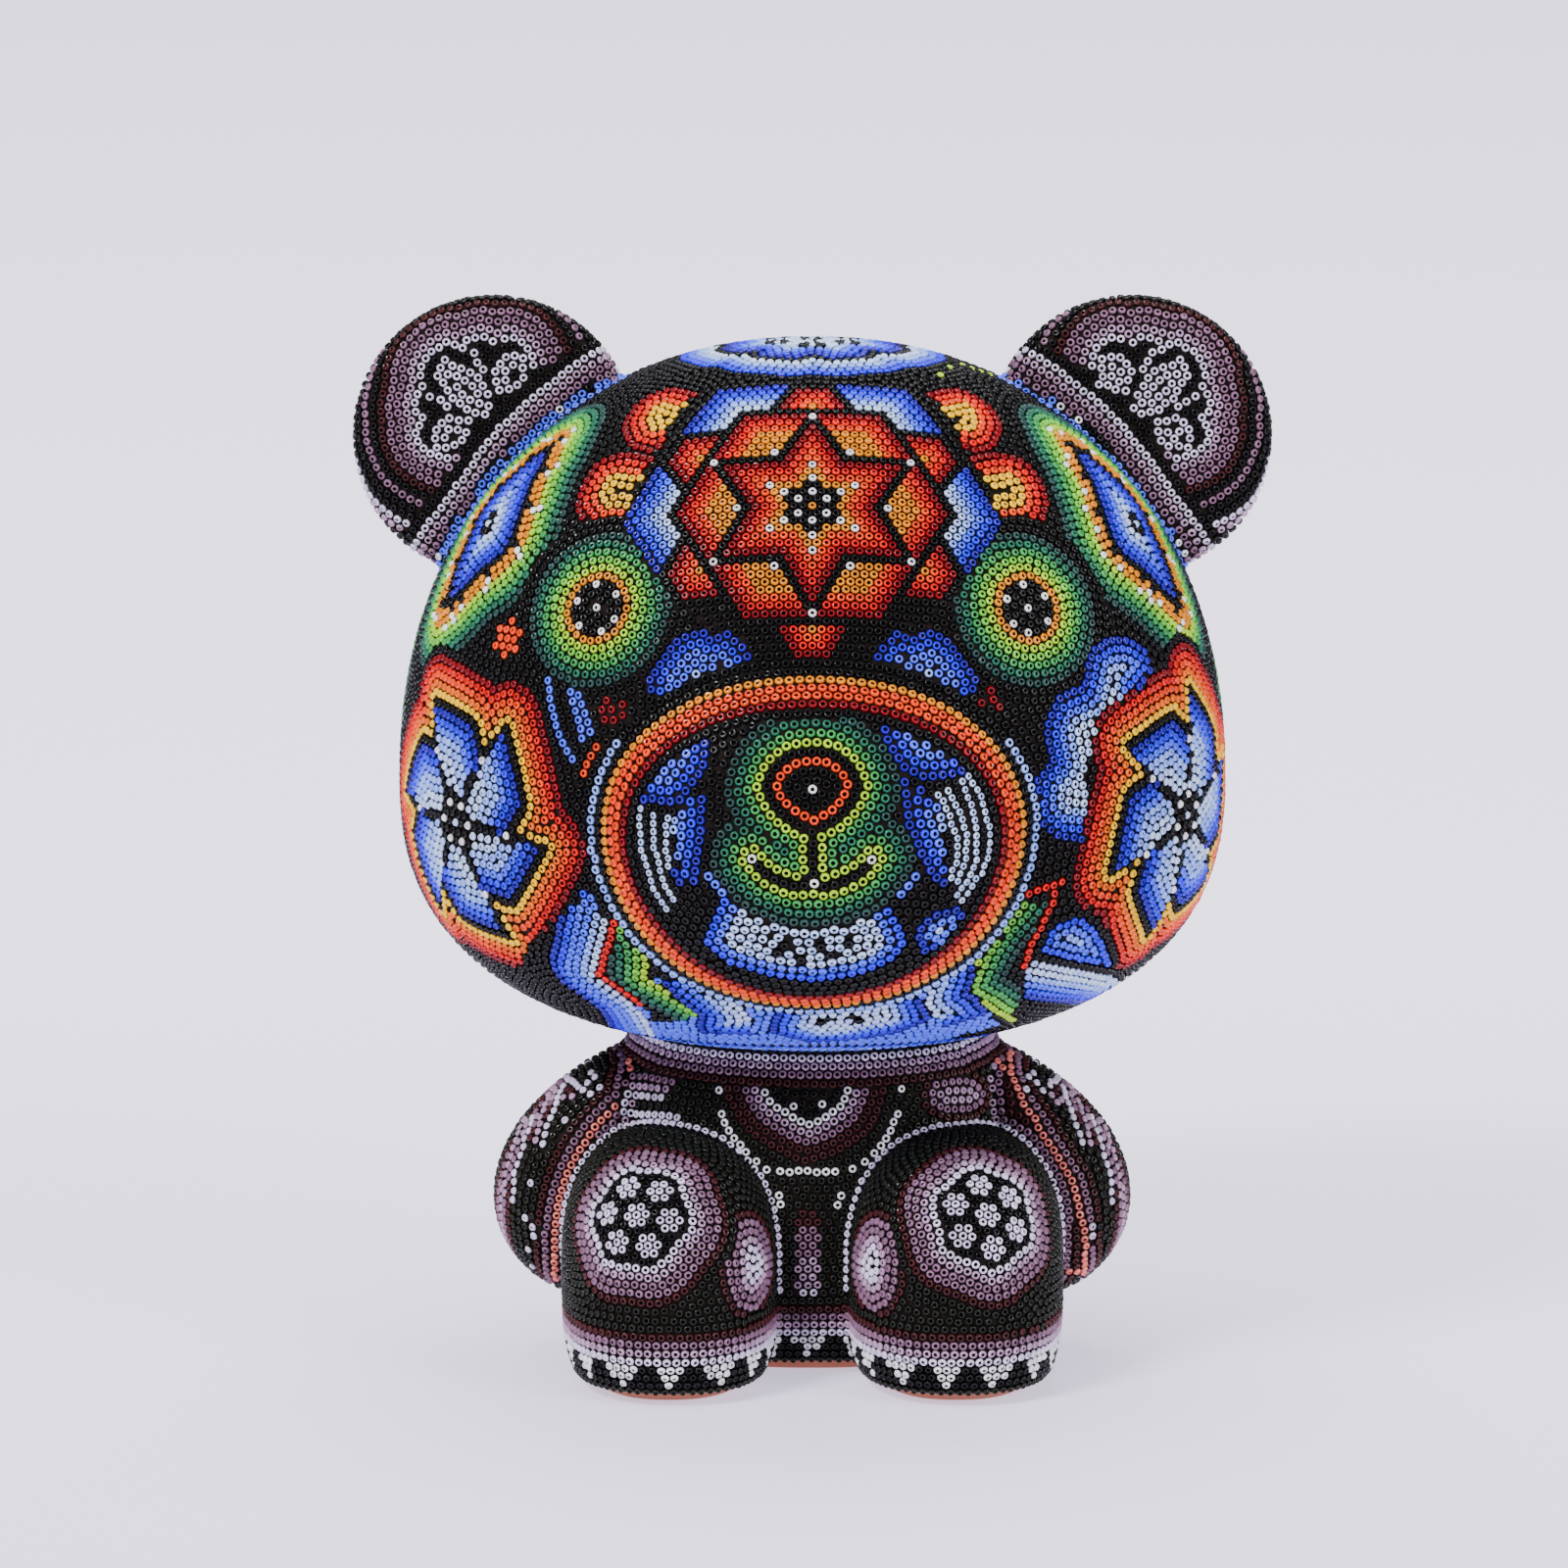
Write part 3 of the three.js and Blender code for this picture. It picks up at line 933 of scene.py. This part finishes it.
def lower_head(work):
    """The blue and green shapes that show under the muzzle, above blue rows round the head's lower edge."""
    front = FrontChart(work.skin)
    heights = np.where(work.allowed, work.skin.points[:, 2], np.nan)
    line, _ = longest(work.skin.contours(heights, CHIN))
    work.nest(line, lambda p, n: p[:, 2] > CHIN, ("light_blue", "blue", "royal", "black"), core=False)
    work.line(front, [(-47.1, 103.9), (-51.1, 92), (-40.3, 84.4)], "red")
    work.line(front, [(51.6, 111.3), (59.8, 114.3), (55, 104), (50.2, 93.9)], "red")
    specks = [(2.2, 80.4), (3.8, 81.2), (9.2, 82), (10.6, 80.8), (-3.8, 85.2), (-0.5, 84.6), (12, 85.4)]
    work.dots(front, specks + [(14.6, 85.8)], "black")
    middle = [(-6.5, 85.6), (-9.5, 78.5), (0, 76.2), (10, 76.8), (20.5, 78.6), (27, 81.4), (24, 87.6)]
    work.shape(front, middle + [(8, 84)], BLUES, shaded=7)
    block = [(-15.3, 78), (-27, 78.4), (-26, 82.2), (-32, 87), (-36, 90.5), (-26, 88), (-14.5, 84.6)]
    work.shape(front, block, BLUES, shaded=5)
    block = [(32, 80), (42, 83), (36, 87.4), (38, 92), (37.5, 95), (32, 90.6), (26, 85.6)]
    work.shape(front, block, BLUES, shaded=5)
    chevron = [(-26.6, 82.6), (-40.3, 90.8), (-40, 97), (-44, 104), (-48.5, 102), (-50.2, 92), (-41, 85)]
    work.shape(front, chevron + [(-36, 79)], GREENS + ("black",), shaded=4)
    fading = ("light_blue", "blue", "blue", "royal", "navy", "black")
    chevron = [(-50, 104.5), (-53, 91.6), (-41.5, 83), (-38, 77), (-75, 83), (-66, 100), (-53, 112)]
    work.shape(front, chevron, ("pale_blue",) + fading, shaded=4)
    chevron = [(49, 108.5), (44.2, 102.7), (40.4, 95.9), (36.9, 88), (48, 81), (49.4, 90), (50.4, 97)]
    work.shape(front, chevron + [(56.5, 110.5)], GREENS + ("black",), shaded=5)
    moon = [(55.5, 97.9), (58, 102.8), (63.7, 104.8), (67, 102), (71, 94.2)]
    work.shape(front, moon, ("royal", "blue", "light_blue"), outward=("black",))
    ground = [(-40, 92), (-22, 88), (0, 84), (24, 88), (40, 96), (44, 80), (20, 74), (-10, 73), (-44, 78)]
    work.tint(front, ground, "blue")
    strip = [(51.5, 94.6), (60, 92.6), (72, 90.5), (80, 86), (60, 78), (50, 80)]
    work.shape(front, strip, ("pale_blue", "pale_blue") + BLUES[3::-1] + ("black",), shaded=4)


def back_of_head(work):
    """The same motifs again round the back: a star, two windmills, roundels and small shapes between them."""
    skin = work.skin
    star(work, PatchChart(skin, (0, 110, 168)))
    oval(work, (0, 90, 222), (17, 8), FIRE)
    rows = ("black", "gold") + MOSSES
    low_diamond = rounded([(14, 0), (15, 90), (14, 180), (15, 270)])
    work.shape(PatchChart(skin, (0, 100, 108)), low_diamond, BLUES, outward=rows)
    tall_diamond = rounded([(9, 0), (24, 80), (9, 180), (24, 260)])
    ovals = (
        ((95, 16, 104), (9, 14), FIRE),
        ((32, 105, 118), (8, 12), FIRE),
        ((90, 45, 90), (15, 6), BLUES),
        ((50, 80, 84), (16, 7), BLUES),
        ((46, 36, 248), (15, 9), FIRE),
        ((26, 70, 232), (9, 7), BLUES),
        ((100, 66, 186), (9, 15), BLUES),
        ((62, 90, 164), (8, 11), BLUES),
    )
    for side in SIDES:
        windmill(work, PatchChart(skin, (side * 80, 75, 124)), 22 if side > 0 else -2)
        roundel(work, PatchChart(skin, (side * 60, 70, 202)))
        rows = ("black", "gold", "gold") + MOSSES
        work.shape(PatchChart(skin, (side * 110, 22, 164)), tall_diamond, BLUES, outward=rows)
        for (x, y, z), size, rows in ovals:
            oval(work, (side * x, y, z), size, rows)


def ear_seams(work, side):
    """Two rows of blue beads on the head along each ear."""
    name = sided("ear", side)
    line, _ = seam(work.skin, name, ["head"])
    work.nest(line, on_part("head", [name]), ("blue", "blue"), core=False)


def ear(work, side):
    """Three pale petals in a scalloped fan above a band, with dark rings out to the rim."""
    chart = PatchChart(work.skin, (side * 76, 0, 222.4), turn=-45.7, side=side)
    axis = -4.3  # the fan stands this far to one side of the ear's middle
    shifted = lambda points: [(axis + t, s) for t, s in points]
    centre_petal = [(-1.5, 21.4), (1.5, 21.4), (4, 13.5), (2, 6), (-2, 6), (-4, 13.5)]
    side_petal = [(14.5, 8.6), (13.4, 11.4), (8, 11.4), (4.4, 6.2), (11, 5)]
    half_fan = [(15.2, 4.6), (17.2, 8), (17.6, 11), (16, 14.8), (12.2, 15.6), (12, 19), (8.5, 21.2)]
    half_fan += [(6, 20.6), (5.4, 23.8), (2, 25.2)]
    work.shape(chart, shifted(centre_petal), ("lilac",))
    for way in SIDES:
        work.line(chart, [(axis + way * 7.2, 17.8), (axis + way * 5.6, 13)], "lilac")
        work.shape(chart, [(axis + way * t, s) for t, s in side_petal], ("lilac",))
    fan = shifted(half_fan + [(-t, s) for t, s in half_fan[::-1]])
    foot = [(axis - 13, 3.2), (axis + 13, 3.2)]
    work.shape(chart, fan + foot, ("lilac", "black"), shaded=len(fan))
    band = [(-40, -5.6), (-26, -1.4), (-12, 0.4), (-4, 0.6), (8, -0.4), (16, -1.9), (26, -3.2), (40, -6)]
    rows = ("lilac", "light_mauve", "mauve", every(9, "white", "mauve"), "mauve", "maroon", "maroon", "olive")
    work.shape(chart, band + [(44, -34), (-44, -34)], rows, shaded=8, core=False)
    above = [(-44, 30), (0, 44), (44, 30)]
    work.shape(chart, band[::-1] + above, ("lilac", "black"), shaded=8, core=False)
    rings = ("light_mauve", "mauve", "mauve", "maroon", "black", "mauve", "black", "black", "lilac")
    work.shape(chart, fan, (), outward=rings + ("light_mauve",))


def ear_back(work, side):
    """Plum rings on the back of an ear."""
    chart = PatchChart(work.skin, (side * 80, 40, 226))
    work.shape(chart, ellipse(26, 26), ("olive",) + PLUMS + ("black",) + PLUMS[::-1])


def neck(work):
    """Plum rows on the torso and blue ones on the head, along the crease between them."""
    heights = work.skin.points[:, 2]
    line, _ = seam(work.skin, "torso", ["head"], (heights > 60) & (heights < 100))
    below = ("black",) + PLUMS[::-1]
    above = ("light_blue", "blue", "royal", "navy", "black")
    work.nest(line, on_part("torso", ["head"]), below, outward=above, core=False)


def arm(work, side):
    """A coral row down the front of the arm, shaded plum outwards from there, with pale waves at its side."""
    front = FrontChart(work.skin, side)
    if side > 0:
        row = [(52, 79.6), (48.3, 76), (47.4, 71.7), (47.7, 66.8), (50.4, 61.3), (54.7, 54.6), (59, 47.2)]
        row += [(62.7, 41.7), (64.2, 35.6), (65.2, 28.3), (65.2, 22.2), (64.3, 16.1)]
    else:
        row = [(48.9, 77.2), (45.5, 75), (43.7, 72.3), (43.8, 68), (45.8, 61.9), (49.5, 57.9), (52.9, 54)]
        row += [(56.2, 49.1), (58.7, 44.2), (60.5, 39.3), (61.5, 34.4), (61.9, 27), (62, 22.2), (61.1, 15.8)]
    work.line(front, row, "coral")
    upper_wave = [(57.2, 70.1), (60.5, 62), (63.5, 53.9), (64.5, 50)]
    lower_wave = [(66.4, 57), (69, 50), (71, 43.5), (71.5, 37)]
    for wave in (upper_wave, lower_wave):
        work.line(front, wave, "lilac")
        work.line(front, [(u + 1.9, v + 1) for u, v in wave], "light_mauve")
    work.dots(front, [(51.5, 66.6), (51, 64), (67, 31.2), (66.8, 29)], "lilac")
    outside = row + [(95, 10), (95, 88)]
    work.shape(front, outside, ("coral", "mauve", "maroon"), shaded=len(row), core=False)
    name = sided("arm", side)
    others = ["torso", "leg_left", "leg_right", "head"]
    line, _ = seam(work.skin, name, others, work.skin.points[:, 2] < SHOULDER)
    rows = ("light_mauve", "mauve", "maroon", "olive", "olive", every(4, "lilac", "olive"), "olive", "olive")
    rows += ("maroon", "mauve", "light_mauve", "mauve", "maroon", "olive")
    work.nest(line, on_part(name, others), rows, lay_edge=False)


def leg(work, side):
    """A pale row along the crease round a leg, with dark rows inside it."""
    name = sided("leg", side)
    others = ["torso", "arm_left", "arm_right", sided("leg", -side)]
    line, closed = seam(work.skin, name, others, work.skin.points[:, 2] < SHOULDER)
    work.lay_row(line, closed, "lilac")
    work.nest(line, on_part(name, others), ("lilac", "black", "olive", "olive"), core=False, lay_edge=False)


def knee(work, side):
    rosette(work, PatchChart(work.skin, FrontChart(work.skin, side).at(42, 33.7), turn=-13 * side))


def rosette(work, chart):
    """Seven small flowers on black inside a scalloped plum ring."""
    first = 46.1  # where the first of the outer flowers stands, in degrees
    flowers = [(0, 0)] + rounded([(math.sqrt(13), first + 60 * n) for n in range(6)])

    def colour(x, row):
        height = row * RISE
        if math.hypot(x, height) > 5.1:
            return None
        petal = min(math.hypot(x - a, height - b) for a, b in flowers)
        return "lilac" if petal < 1.1 else "black"

    lattice(work, chart, 6, SPACING, colour)
    scallop = []
    for step in range(72):
        angle = math.tau * step / 72
        reach = 6.0 + 0.3 * math.cos(6 * (angle - math.radians(first)))
        scallop.append((reach * SPACING * math.cos(angle), reach * SPACING * math.sin(angle)))
    rims = ("light_mauve", "mauve", "mauve", "maroon", "olive")
    work.shape(chart, scallop, ("lilac", "black"), outward=rims)


def chest(work, front):
    """A dark moon under the chin with white rows below it, and small plum marks."""
    moon = [(-12, 67), (-12, 64), (-9.4, 60), (-5.6, 57.6), (-1.4, 55.4), (2.4, 56.6), (6.6, 59.4)]
    work.dots(front, [(-4.7, 60), (2.1, 60)], "white")
    rims = ("light_mauve", "mauve", "maroon", "maroon")
    work.shape(front, moon + [(8.7, 63.4), (9, 67)], ("white", "black"), outward=rims)
    work.line(front, [(-7.5, 44.2), (6.5, 44.2)], "white")
    for side, shift in ((1, 0), (-1, 1.2)):
        half = FrontChart(work.skin, side)
        work.line(half, [(14.8 + shift, 48.9), (18.6 + shift, 53.5), (21 + shift, 59.7)], "white")
        places = ((9.4, 45), (12.3, 46.8), (21.3, 63.7), (6.6, 38.5), (6, 36.3))
        work.dots(half, [(u + shift, v) for u, v in places], "white")
    work.shape(front, ellipse(7.6, 5.4, (34.2, 62.4)), PLUMS)
    stripes = (
        ("lilac", [(44.9, 60.7), (43.7, 62.8), (35.8, 61.9)]),
        ("lilac", [(45.5, 58.6), (35.2, 57.5), (32, 57)]),
        ("light_mauve", [(43, 65), (34.5, 64)]),
        ("mauve", [(42.5, 67.2), (33, 66)]),
    )
    for colour, points in stripes:
        work.line(FrontChart(work.skin, -1), points, colour)
    belly = ("maroon", "mauve", "mauve", "light_mauve", "light_mauve", "lilac")
    for row in range(12):
        for place in range(2 + row % 2):
            across = (place - (1 + row % 2) / 2) * SPACING - 1
            work.dot(front, across, 34 - row * 1.85, belly[row // 2])


def back_of_body(work):
    """A rosette in the middle of the back, with a pale row arching over it and small ovals beside it."""
    chart = PatchChart(work.skin, (0, 80, 42))
    rosette(work, chart)
    work.line(chart, ellipse(25, 26), "lilac", closed=True)
    for side in SIDES:
        for height, size in ((24, (6, 10)), (66, (8, 4.5))):
            work.shape(PatchChart(work.skin, (side * 34, 60, height)), ellipse(*size), PLUMS)


def inner_knee(work, side):
    """A tall plum oval on the inner side of a leg."""
    front = FrontChart(work.skin, side)
    work.shape(front, ellipse(5.8, 12, (16, 22)), ("maroon", "mauve", "mauve", "light_mauve", "lilac"))


def hem(work):
    """White teeth on black round the foot of the bear, with plum rows above them."""
    line, _ = longest(work.skin.contours(work.skin.points[:, 2], BEAD_HEM))
    steps = np.linalg.norm(np.diff(np.vstack((line, line[:1])), axis=0), axis=1)
    along = np.concatenate(([0], np.cumsum(steps)))[:-1]
    tooth = steps.sum() / max(1, round(steps.sum() / (5 * SPACING)))  # about five beads wide

    def toothed(width):
        def colour(number, spot):
            nearest = np.linalg.norm(line - np.array(spot), axis=1).argmin()
            phase = (along[nearest] / tooth) % 1
            return "white" if abs(phase - 0.5) < width else "black"
        return colour

    teeth = tuple(toothed(width) for width in (0.1, 0.2, 0.32))
    rows = ("olive",) + teeth + PLUMS[::-1] + ("olive",)
    work.nest(line, lambda p, n: p[:, 2] > BEAD_HEM, rows, core=False)


def ground_colour(skin, spot):
    """The colour of the wax's paint at a place, or of the ground that each body part has."""
    corner = skin.corner(Vector(spot))
    if skin.paint[corner] != BARE:
        return skin.paint[corner]
    return INDEX["black" if NAMES[skin.part[corner]] in HEAD_PARTS else "olive"]


def lay_patterns(work):
    front = FrontChart(work.skin)
    work.size = MUZZLE_BEADS
    muzzle_rings(work)
    nose_and_mouth(work, front)
    beard(work, front)
    for side in SIDES:
        muzzle_marks(work, side)
    work.size = 1.0
    neck(work)
    hem(work)
    work.keep_to(*HEAD_PARTS)
    for side in SIDES:
        cloud(work, side)
        ear_seams(work, side)
    star(work, PatchChart(work.skin, front.at(0, 203.7)))
    lower_head(work)
    left_marks(work)
    right_marks(work)
    long_wave(work)
    for side in SIDES:
        eye(work, side)
        flames(work, side)
        cheek(work, side)
        brow_diamond(work, side)
    crown(work)
    leaves(work)
    back_of_head(work)
    behind = work.skin.points[:, 1] > PARTS["ear_left"]["centre"][1]
    for half, pattern in ((~behind, ear), (behind, ear_back)):
        work.keep_to(*EAR_PARTS)
        work.allowed &= half
        for side in SIDES:
            pattern(work, side)
    work.keep_to(*REGIONS["body"])
    chest(work, front)
    back_of_body(work)
    for side in SIDES:
        knee(work, side)
        leg(work, side)
        inner_knee(work, side)
        arm(work, side)
    work.keep_to(*NAMES)


# ---- The pieces ----

MOST_BEADS = 4000  # in one piece
LEAN = 0.07  # how unevenly the beads lean
LIFT_SPREAD = 0.04  # how unevenly they are pressed in, in millimetres
SIZE_SPREAD = 0.02  # how much their sizes vary
SIZE_LIMITS = (0.95, 1.03)
SHADES = 3  # of each colour
WAX_KEPT = 0.25  # part of the wax's faces that are kept, once the beads are laid


def wax_skin():
    """The wax over the whole bear, as one solid lump with soft creases."""
    pieces = [lump(name, part, -WAX_DEPTH) for name, part in PARTS.items()]
    for piece in pieces:
        cut_flat(piece, WAX_HEM)
    return joined("wax_coat", pieces, WAX_GRAIN, smoothing=3)


def bead_template():
    """One bead with its hole along Z: a ring of three-cornered section, widest at its belly and rounded by
    its shading."""
    deselect()
    bpy.ops.mesh.primitive_torus_add(major_segments=8, minor_segments=3, major_radius=0.7, minor_radius=0.3)
    ring = bpy.context.object
    points = points_of(ring.data)
    reach = np.linalg.norm(points[:, :2], axis=1)
    outer, top = reach > 0.8, points[:, 2] > 0.1
    radius = np.where(outer, BEAD_RADIUS, np.where(top, BEAD_RIM, BEAD_HOLE))
    points[:, :2] *= (radius / reach)[:, None]
    points[:, 2] = np.where(outer, BEAD_BELLY, np.where(top, BEAD_HEIGHT / 2, -HOLE_DEPTH))
    faces = np.array([list(face.vertices) for face in ring.data.polygons])
    bpy.data.objects.remove(ring)
    return points, faces


def threaded(name, template, spots, normals, sizes, shades, materials):
    """Copies of the bead at the given spots, as one piece, each with a shade of its own."""
    points, faces = template
    rng = np.random.default_rng(sum(name.encode()))
    count = len(spots)
    lean = normals + rng.normal(0, LEAN, (count, 3))
    lean /= np.linalg.norm(lean, axis=1)[:, None]
    across = np.cross(lean, rng.normal(size=(count, 3)))
    across /= np.linalg.norm(across, axis=1)[:, None]
    along = np.cross(lean, across)
    size = (sizes * rng.normal(1, SIZE_SPREAD, count).clip(*SIZE_LIMITS))[:, None, None]
    lift = (BEAD_LIFT + rng.normal(0, LIFT_SPREAD, count))[:, None, None]
    x, y, z = (points[None, :, axis, None] * size for axis in range(3))
    placed = spots[:, None] + x * across[:, None] + y * along[:, None] + (z + lift) * lean[:, None]
    corners = (faces[None] + (np.arange(count) * len(points))[:, None, None]).reshape(-1)
    mesh = bpy.data.meshes.new(name)
    mesh.vertices.add(count * len(points))
    mesh.vertices.foreach_set("co", (placed * MM).ravel())
    mesh.loops.add(len(corners))
    mesh.loops.foreach_set("vertex_index", corners)
    mesh.polygons.add(count * len(faces))
    mesh.polygons.foreach_set("loop_start", np.arange(0, len(corners), faces.shape[1]))
    for material in materials:
        mesh.materials.append(material)
    mesh.polygons.foreach_set("material_index", np.repeat(shades, len(faces)))
    mesh.polygons.foreach_set("use_smooth", np.ones(count * len(faces), dtype=bool))
    mesh.update(calc_edges=True)
    piece = bpy.data.objects.new(name, mesh)
    bpy.context.scene.collection.objects.link(piece)
    return piece


def bead_pieces(work, materials):
    """All the beads, one piece for each colour in each region."""
    template = bead_template()
    spots, normals = np.array(work.spots), np.array([tuple(n) for n in work.normals])
    paints, sizes = np.array(work.paints), np.array(work.sizes)
    parts = np.array([squareness(PARTS[name], spots, -WAX_DEPTH) for name in NAMES]).argmin(axis=0)
    rng = np.random.default_rng(5)
    shades = rng.integers(0, SHADES, len(spots))
    for region, members in REGIONS.items():
        here = np.isin(parts, [NAMES.index(name) for name in members])
        for colour in PAINTS:
            chosen = np.flatnonzero(here & (paints == INDEX[colour]))
            groups = math.ceil(len(chosen) / MOST_BEADS)
            for group, own in enumerate(np.array_split(chosen, groups) if groups else ()):
                name = f"{region}_{colour}_beads" + (f"_{group + 1}" if groups > 1 else "")
                beads = (spots[own], normals[own], sizes[own], shades[own])
                piece = threaded(name, template, *beads, materials[colour])
                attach(piece, "root")
                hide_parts(*(f"{member}_beads" for member in members))


# ---- Materials ----

class Value:
    """A number or colour inside a material, so that shader maths can be written as plain sums."""

    def __init__(self, finish, socket):
        self.finish = finish
        self.socket = socket

    def maths(self, operation, *others):
        node = self.finish.node("Math", dict(enumerate((self,) + others)), operation=operation)
        return Value(self.finish, node.outputs[0])

    def __add__(self, other):
        return self.maths("ADD", other)

    def __sub__(self, other):
        return self.maths("SUBTRACT", other)

    def __mul__(self, other):
        return self.maths("MULTIPLY", other)

    def __truediv__(self, other):
        return self.maths("DIVIDE", other)

    def clipped(self):
        return self.maths("MAXIMUM", 0.0).maths("MINIMUM", 1.0)


class Finish:
    """A material being made, with one Principled surface."""

    def __init__(self, name):
        self.material = bpy.data.materials.new(name)
        self.material.use_nodes = True
        self.tree = self.material.node_tree
        self.surface = self.tree.nodes["Principled BSDF"]

    def feed(self, socket, value):
        if isinstance(value, Value):
            self.tree.links.new(value.socket, socket)
        else:
            socket.default_value = value

    def node(self, kind, inputs, **settings):
        node = self.tree.nodes.new("ShaderNode" + kind)
        for name, value in settings.items():
            setattr(node, name, value)
        for name, value in inputs.items():
            self.feed(node.inputs[name], value)
        return node

    def place(self):
        return Value(self, self.node("TexCoord", {}).outputs["Object"])

    def noise(self, scale, detail=3.0, roughness=0.55):
        inputs = {"Vector": self.place(), "Scale": scale, "Detail": detail, "Roughness": roughness}
        return Value(self, self.node("TexNoise", inputs).outputs["Fac"])

    def mixed(self, share, one, other):
        node = self.node("Mix", {"Factor": share, 6: colour_of(one), 7: colour_of(other)}, data_type="RGBA")
        return Value(self, node.outputs[2])

    def bumped(self, height, depth, strength=1.0):
        inputs = {"Height": height, "Distance": depth, "Strength": strength}
        return Value(self, self.node("Bump", inputs).outputs["Normal"])

    def set(self, **values):
        for name, value in values.items():
            self.feed(self.surface.inputs[name.replace("_", " ")], value)
        return self.material


def linear(channel):
    channel /= 255
    return channel / 12.92 if channel <= 0.04045 else ((channel + 0.055) / 1.055) ** 2.4


HELD_BACK = 0.06  # part of the strongest channel that every channel gives up
BRIGHTER = 1.15  # what makes up for it


def deep(colour):
    """The colour of the glass itself: its weaker channels are held back, since strong light pales them."""
    channels = [linear(c) for c in colour]
    held_back = HELD_BACK * max(channels)
    return [BRIGHTER * max(0.0, c - held_back) for c in channels]


def colour_of(value):
    return value if isinstance(value, Value) else (*(linear(c) for c in value), 1.0)


DARK = ("black", "olive", "maroon")
GLASS_BENDING = 1.33
DARK_BENDING = 1.26  # less gloss, so that the dark beads stay dark
BATCHES = ((1.0, 0.2), (0.86, 0.26), (1.1, 0.16))  # how light each shade of a colour is, and how rough


def glass(colour):
    """Three shades of one bead colour: batches of glass never match quite."""
    shades = []
    bending = DARK_BENDING if colour in DARK else GLASS_BENDING
    for shade, (light, rough) in enumerate(BATCHES):
        finish = Finish(f"{colour}_glass_{shade + 1}")
        base = tuple(min(1.0, c * light) for c in deep(COLOURS[colour])) + (1.0,)
        finish.set(Base_Color=base, Roughness=rough, IOR=bending, Coat_Weight=0.1, Coat_Roughness=0.05)
        shades.append(finish.material)
    return shades


def beeswax():
    finish = Finish("beeswax")
    cloudy = finish.noise(90)
    colour = finish.mixed(cloudy, (13, 9, 8), (24, 16, 12))
    pressed = finish.bumped(finish.noise(700), 0.0004, 0.4)
    return finish.set(Base_Color=colour, Roughness=cloudy * 0.2 + 0.6, IOR=1.2, Normal=pressed)


def terracotta():
    finish = Finish("fired_clay")
    blotches = finish.noise(60, 5.0)
    grains = finish.noise(900, 4.0, 0.7)
    colour = finish.mixed(blotches, (142, 80, 56), (176, 108, 76))
    rough = finish.bumped(grains, 0.0003, 0.5)
    return finish.set(Base_Color=colour, Roughness=grains * 0.2 + 0.72, Normal=rough)


# ---- Floor, lights and camera ----

def studio_floor():
    bpy.ops.mesh.primitive_plane_add(size=12, location=(0, 0, 0))
    floor = bpy.context.object
    floor.name = "studio_floor"
    activate(floor)
    bpy.ops.object.transform_apply(location=True, rotation=True, scale=True)
    finish = Finish("pale_paper")
    place = finish.node("SeparateXYZ", {"Vector": finish.place()})
    # Painted shade and light: the floor's colour is darker near the bear and paler further back, standing in
    # for the lamps' light falling off across it.
    away = (Value(finish, place.outputs["Y"]) + 0.5).clipped()
    colour = finish.mixed(away, (210, 203, 218), (228, 225, 240))
    fibres = finish.bumped(finish.noise(1500), 0.0001, 0.2)
    # Painted light: the floor glows, more strongly further back, standing in for a separately lit backdrop.
    painted_backdrop_glow = finish.mixed((away * 0.5).clipped(), (180, 171, 197), (238, 231, 254))
    finish.set(Base_Color=colour, Roughness=0.62, Normal=fibres, Emission_Color=painted_backdrop_glow, Emission_Strength=1.4)
    floor.data.materials.append(finish.material)


def aim(piece, target):
    piece.rotation_euler = (Vector(target) - piece.location).to_track_quat("-Z", "Y").to_euler()


def softbox(name, location, target, width, power):
    """A square lamp. Sizes are in metres, and its power is in watts."""
    light = bpy.data.lights.new(name, "AREA")
    light.shape = "SQUARE"
    light.size = width
    light.energy = power
    box = bpy.data.objects.new(name, light)
    box.location = location
    bpy.context.scene.collection.objects.link(box)
    aim(box, target)


def light_studio():
    middle = (0, 0, 0.13)
    softbox("key_softbox", location=(-3.2, -3.8, 4.6), target=middle, width=1.6, power=480)
    softbox("fill_softbox", location=(4.4, -3.6, 2.8), target=middle, width=2.4, power=235)
    softbox("top_softbox", location=(0, 1.5, 6.0), target=(0, 0.5, 0.1), width=4.0, power=350)
    world = bpy.data.worlds.new("studio")
    world.use_nodes = True
    background = world.node_tree.nodes["Background"]
    background.inputs["Color"].default_value = (0.91, 0.92, 1.0, 1.0)
    background.inputs["Strength"].default_value = 0.55
    bpy.context.scene.world = world


def place_camera():
    camera = bpy.data.objects.new("camera", bpy.data.cameras.new("camera"))
    camera.data.lens = LENS
    camera.location = EYE * MM
    bpy.context.scene.collection.objects.link(camera)
    aim(camera, LOOK_AT * MM)
    bpy.context.scene.camera = camera


# ---- Building the bear ----

def clay_soles(clay):
    """The smooth clay that shows below the wax's hem."""
    for name in ("torso", "leg_left", "leg_right"):
        piece = lump(f"{name}_sole_clay", PARTS[name], -CLAY_DEPTH)
        cut_flat(piece, 0)
        bpy.ops.object.shade_smooth_by_angle(angle=math.radians(40))
        piece.data.materials.append(clay)
        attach(piece, "root")
        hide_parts(f"{name}_clay")


def wax_piece(wax, finish):
    apply_modifier(wax, "DECIMATE", ratio=WAX_KEPT)
    activate(wax)
    bpy.ops.object.shade_smooth()
    wax.data.materials.append(finish)
    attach(wax, "root")
    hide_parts(*(f"{name}_wax" for name in NAMES))


wax = wax_skin()
work = Beadwork(Skin(wax))
lay_patterns(work)
work.fill(lambda spot: ground_colour(work.skin, spot))
clay = terracotta()
for name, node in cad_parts.items():
    if name.endswith("_clay"):
        node.data.materials.clear()
        node.data.materials.append(clay)
clay_soles(clay)
wax_piece(wax, beeswax())
bead_pieces(work, {colour: glass(colour) for colour in COLOURS})
studio_floor()
light_studio()
place_camera()
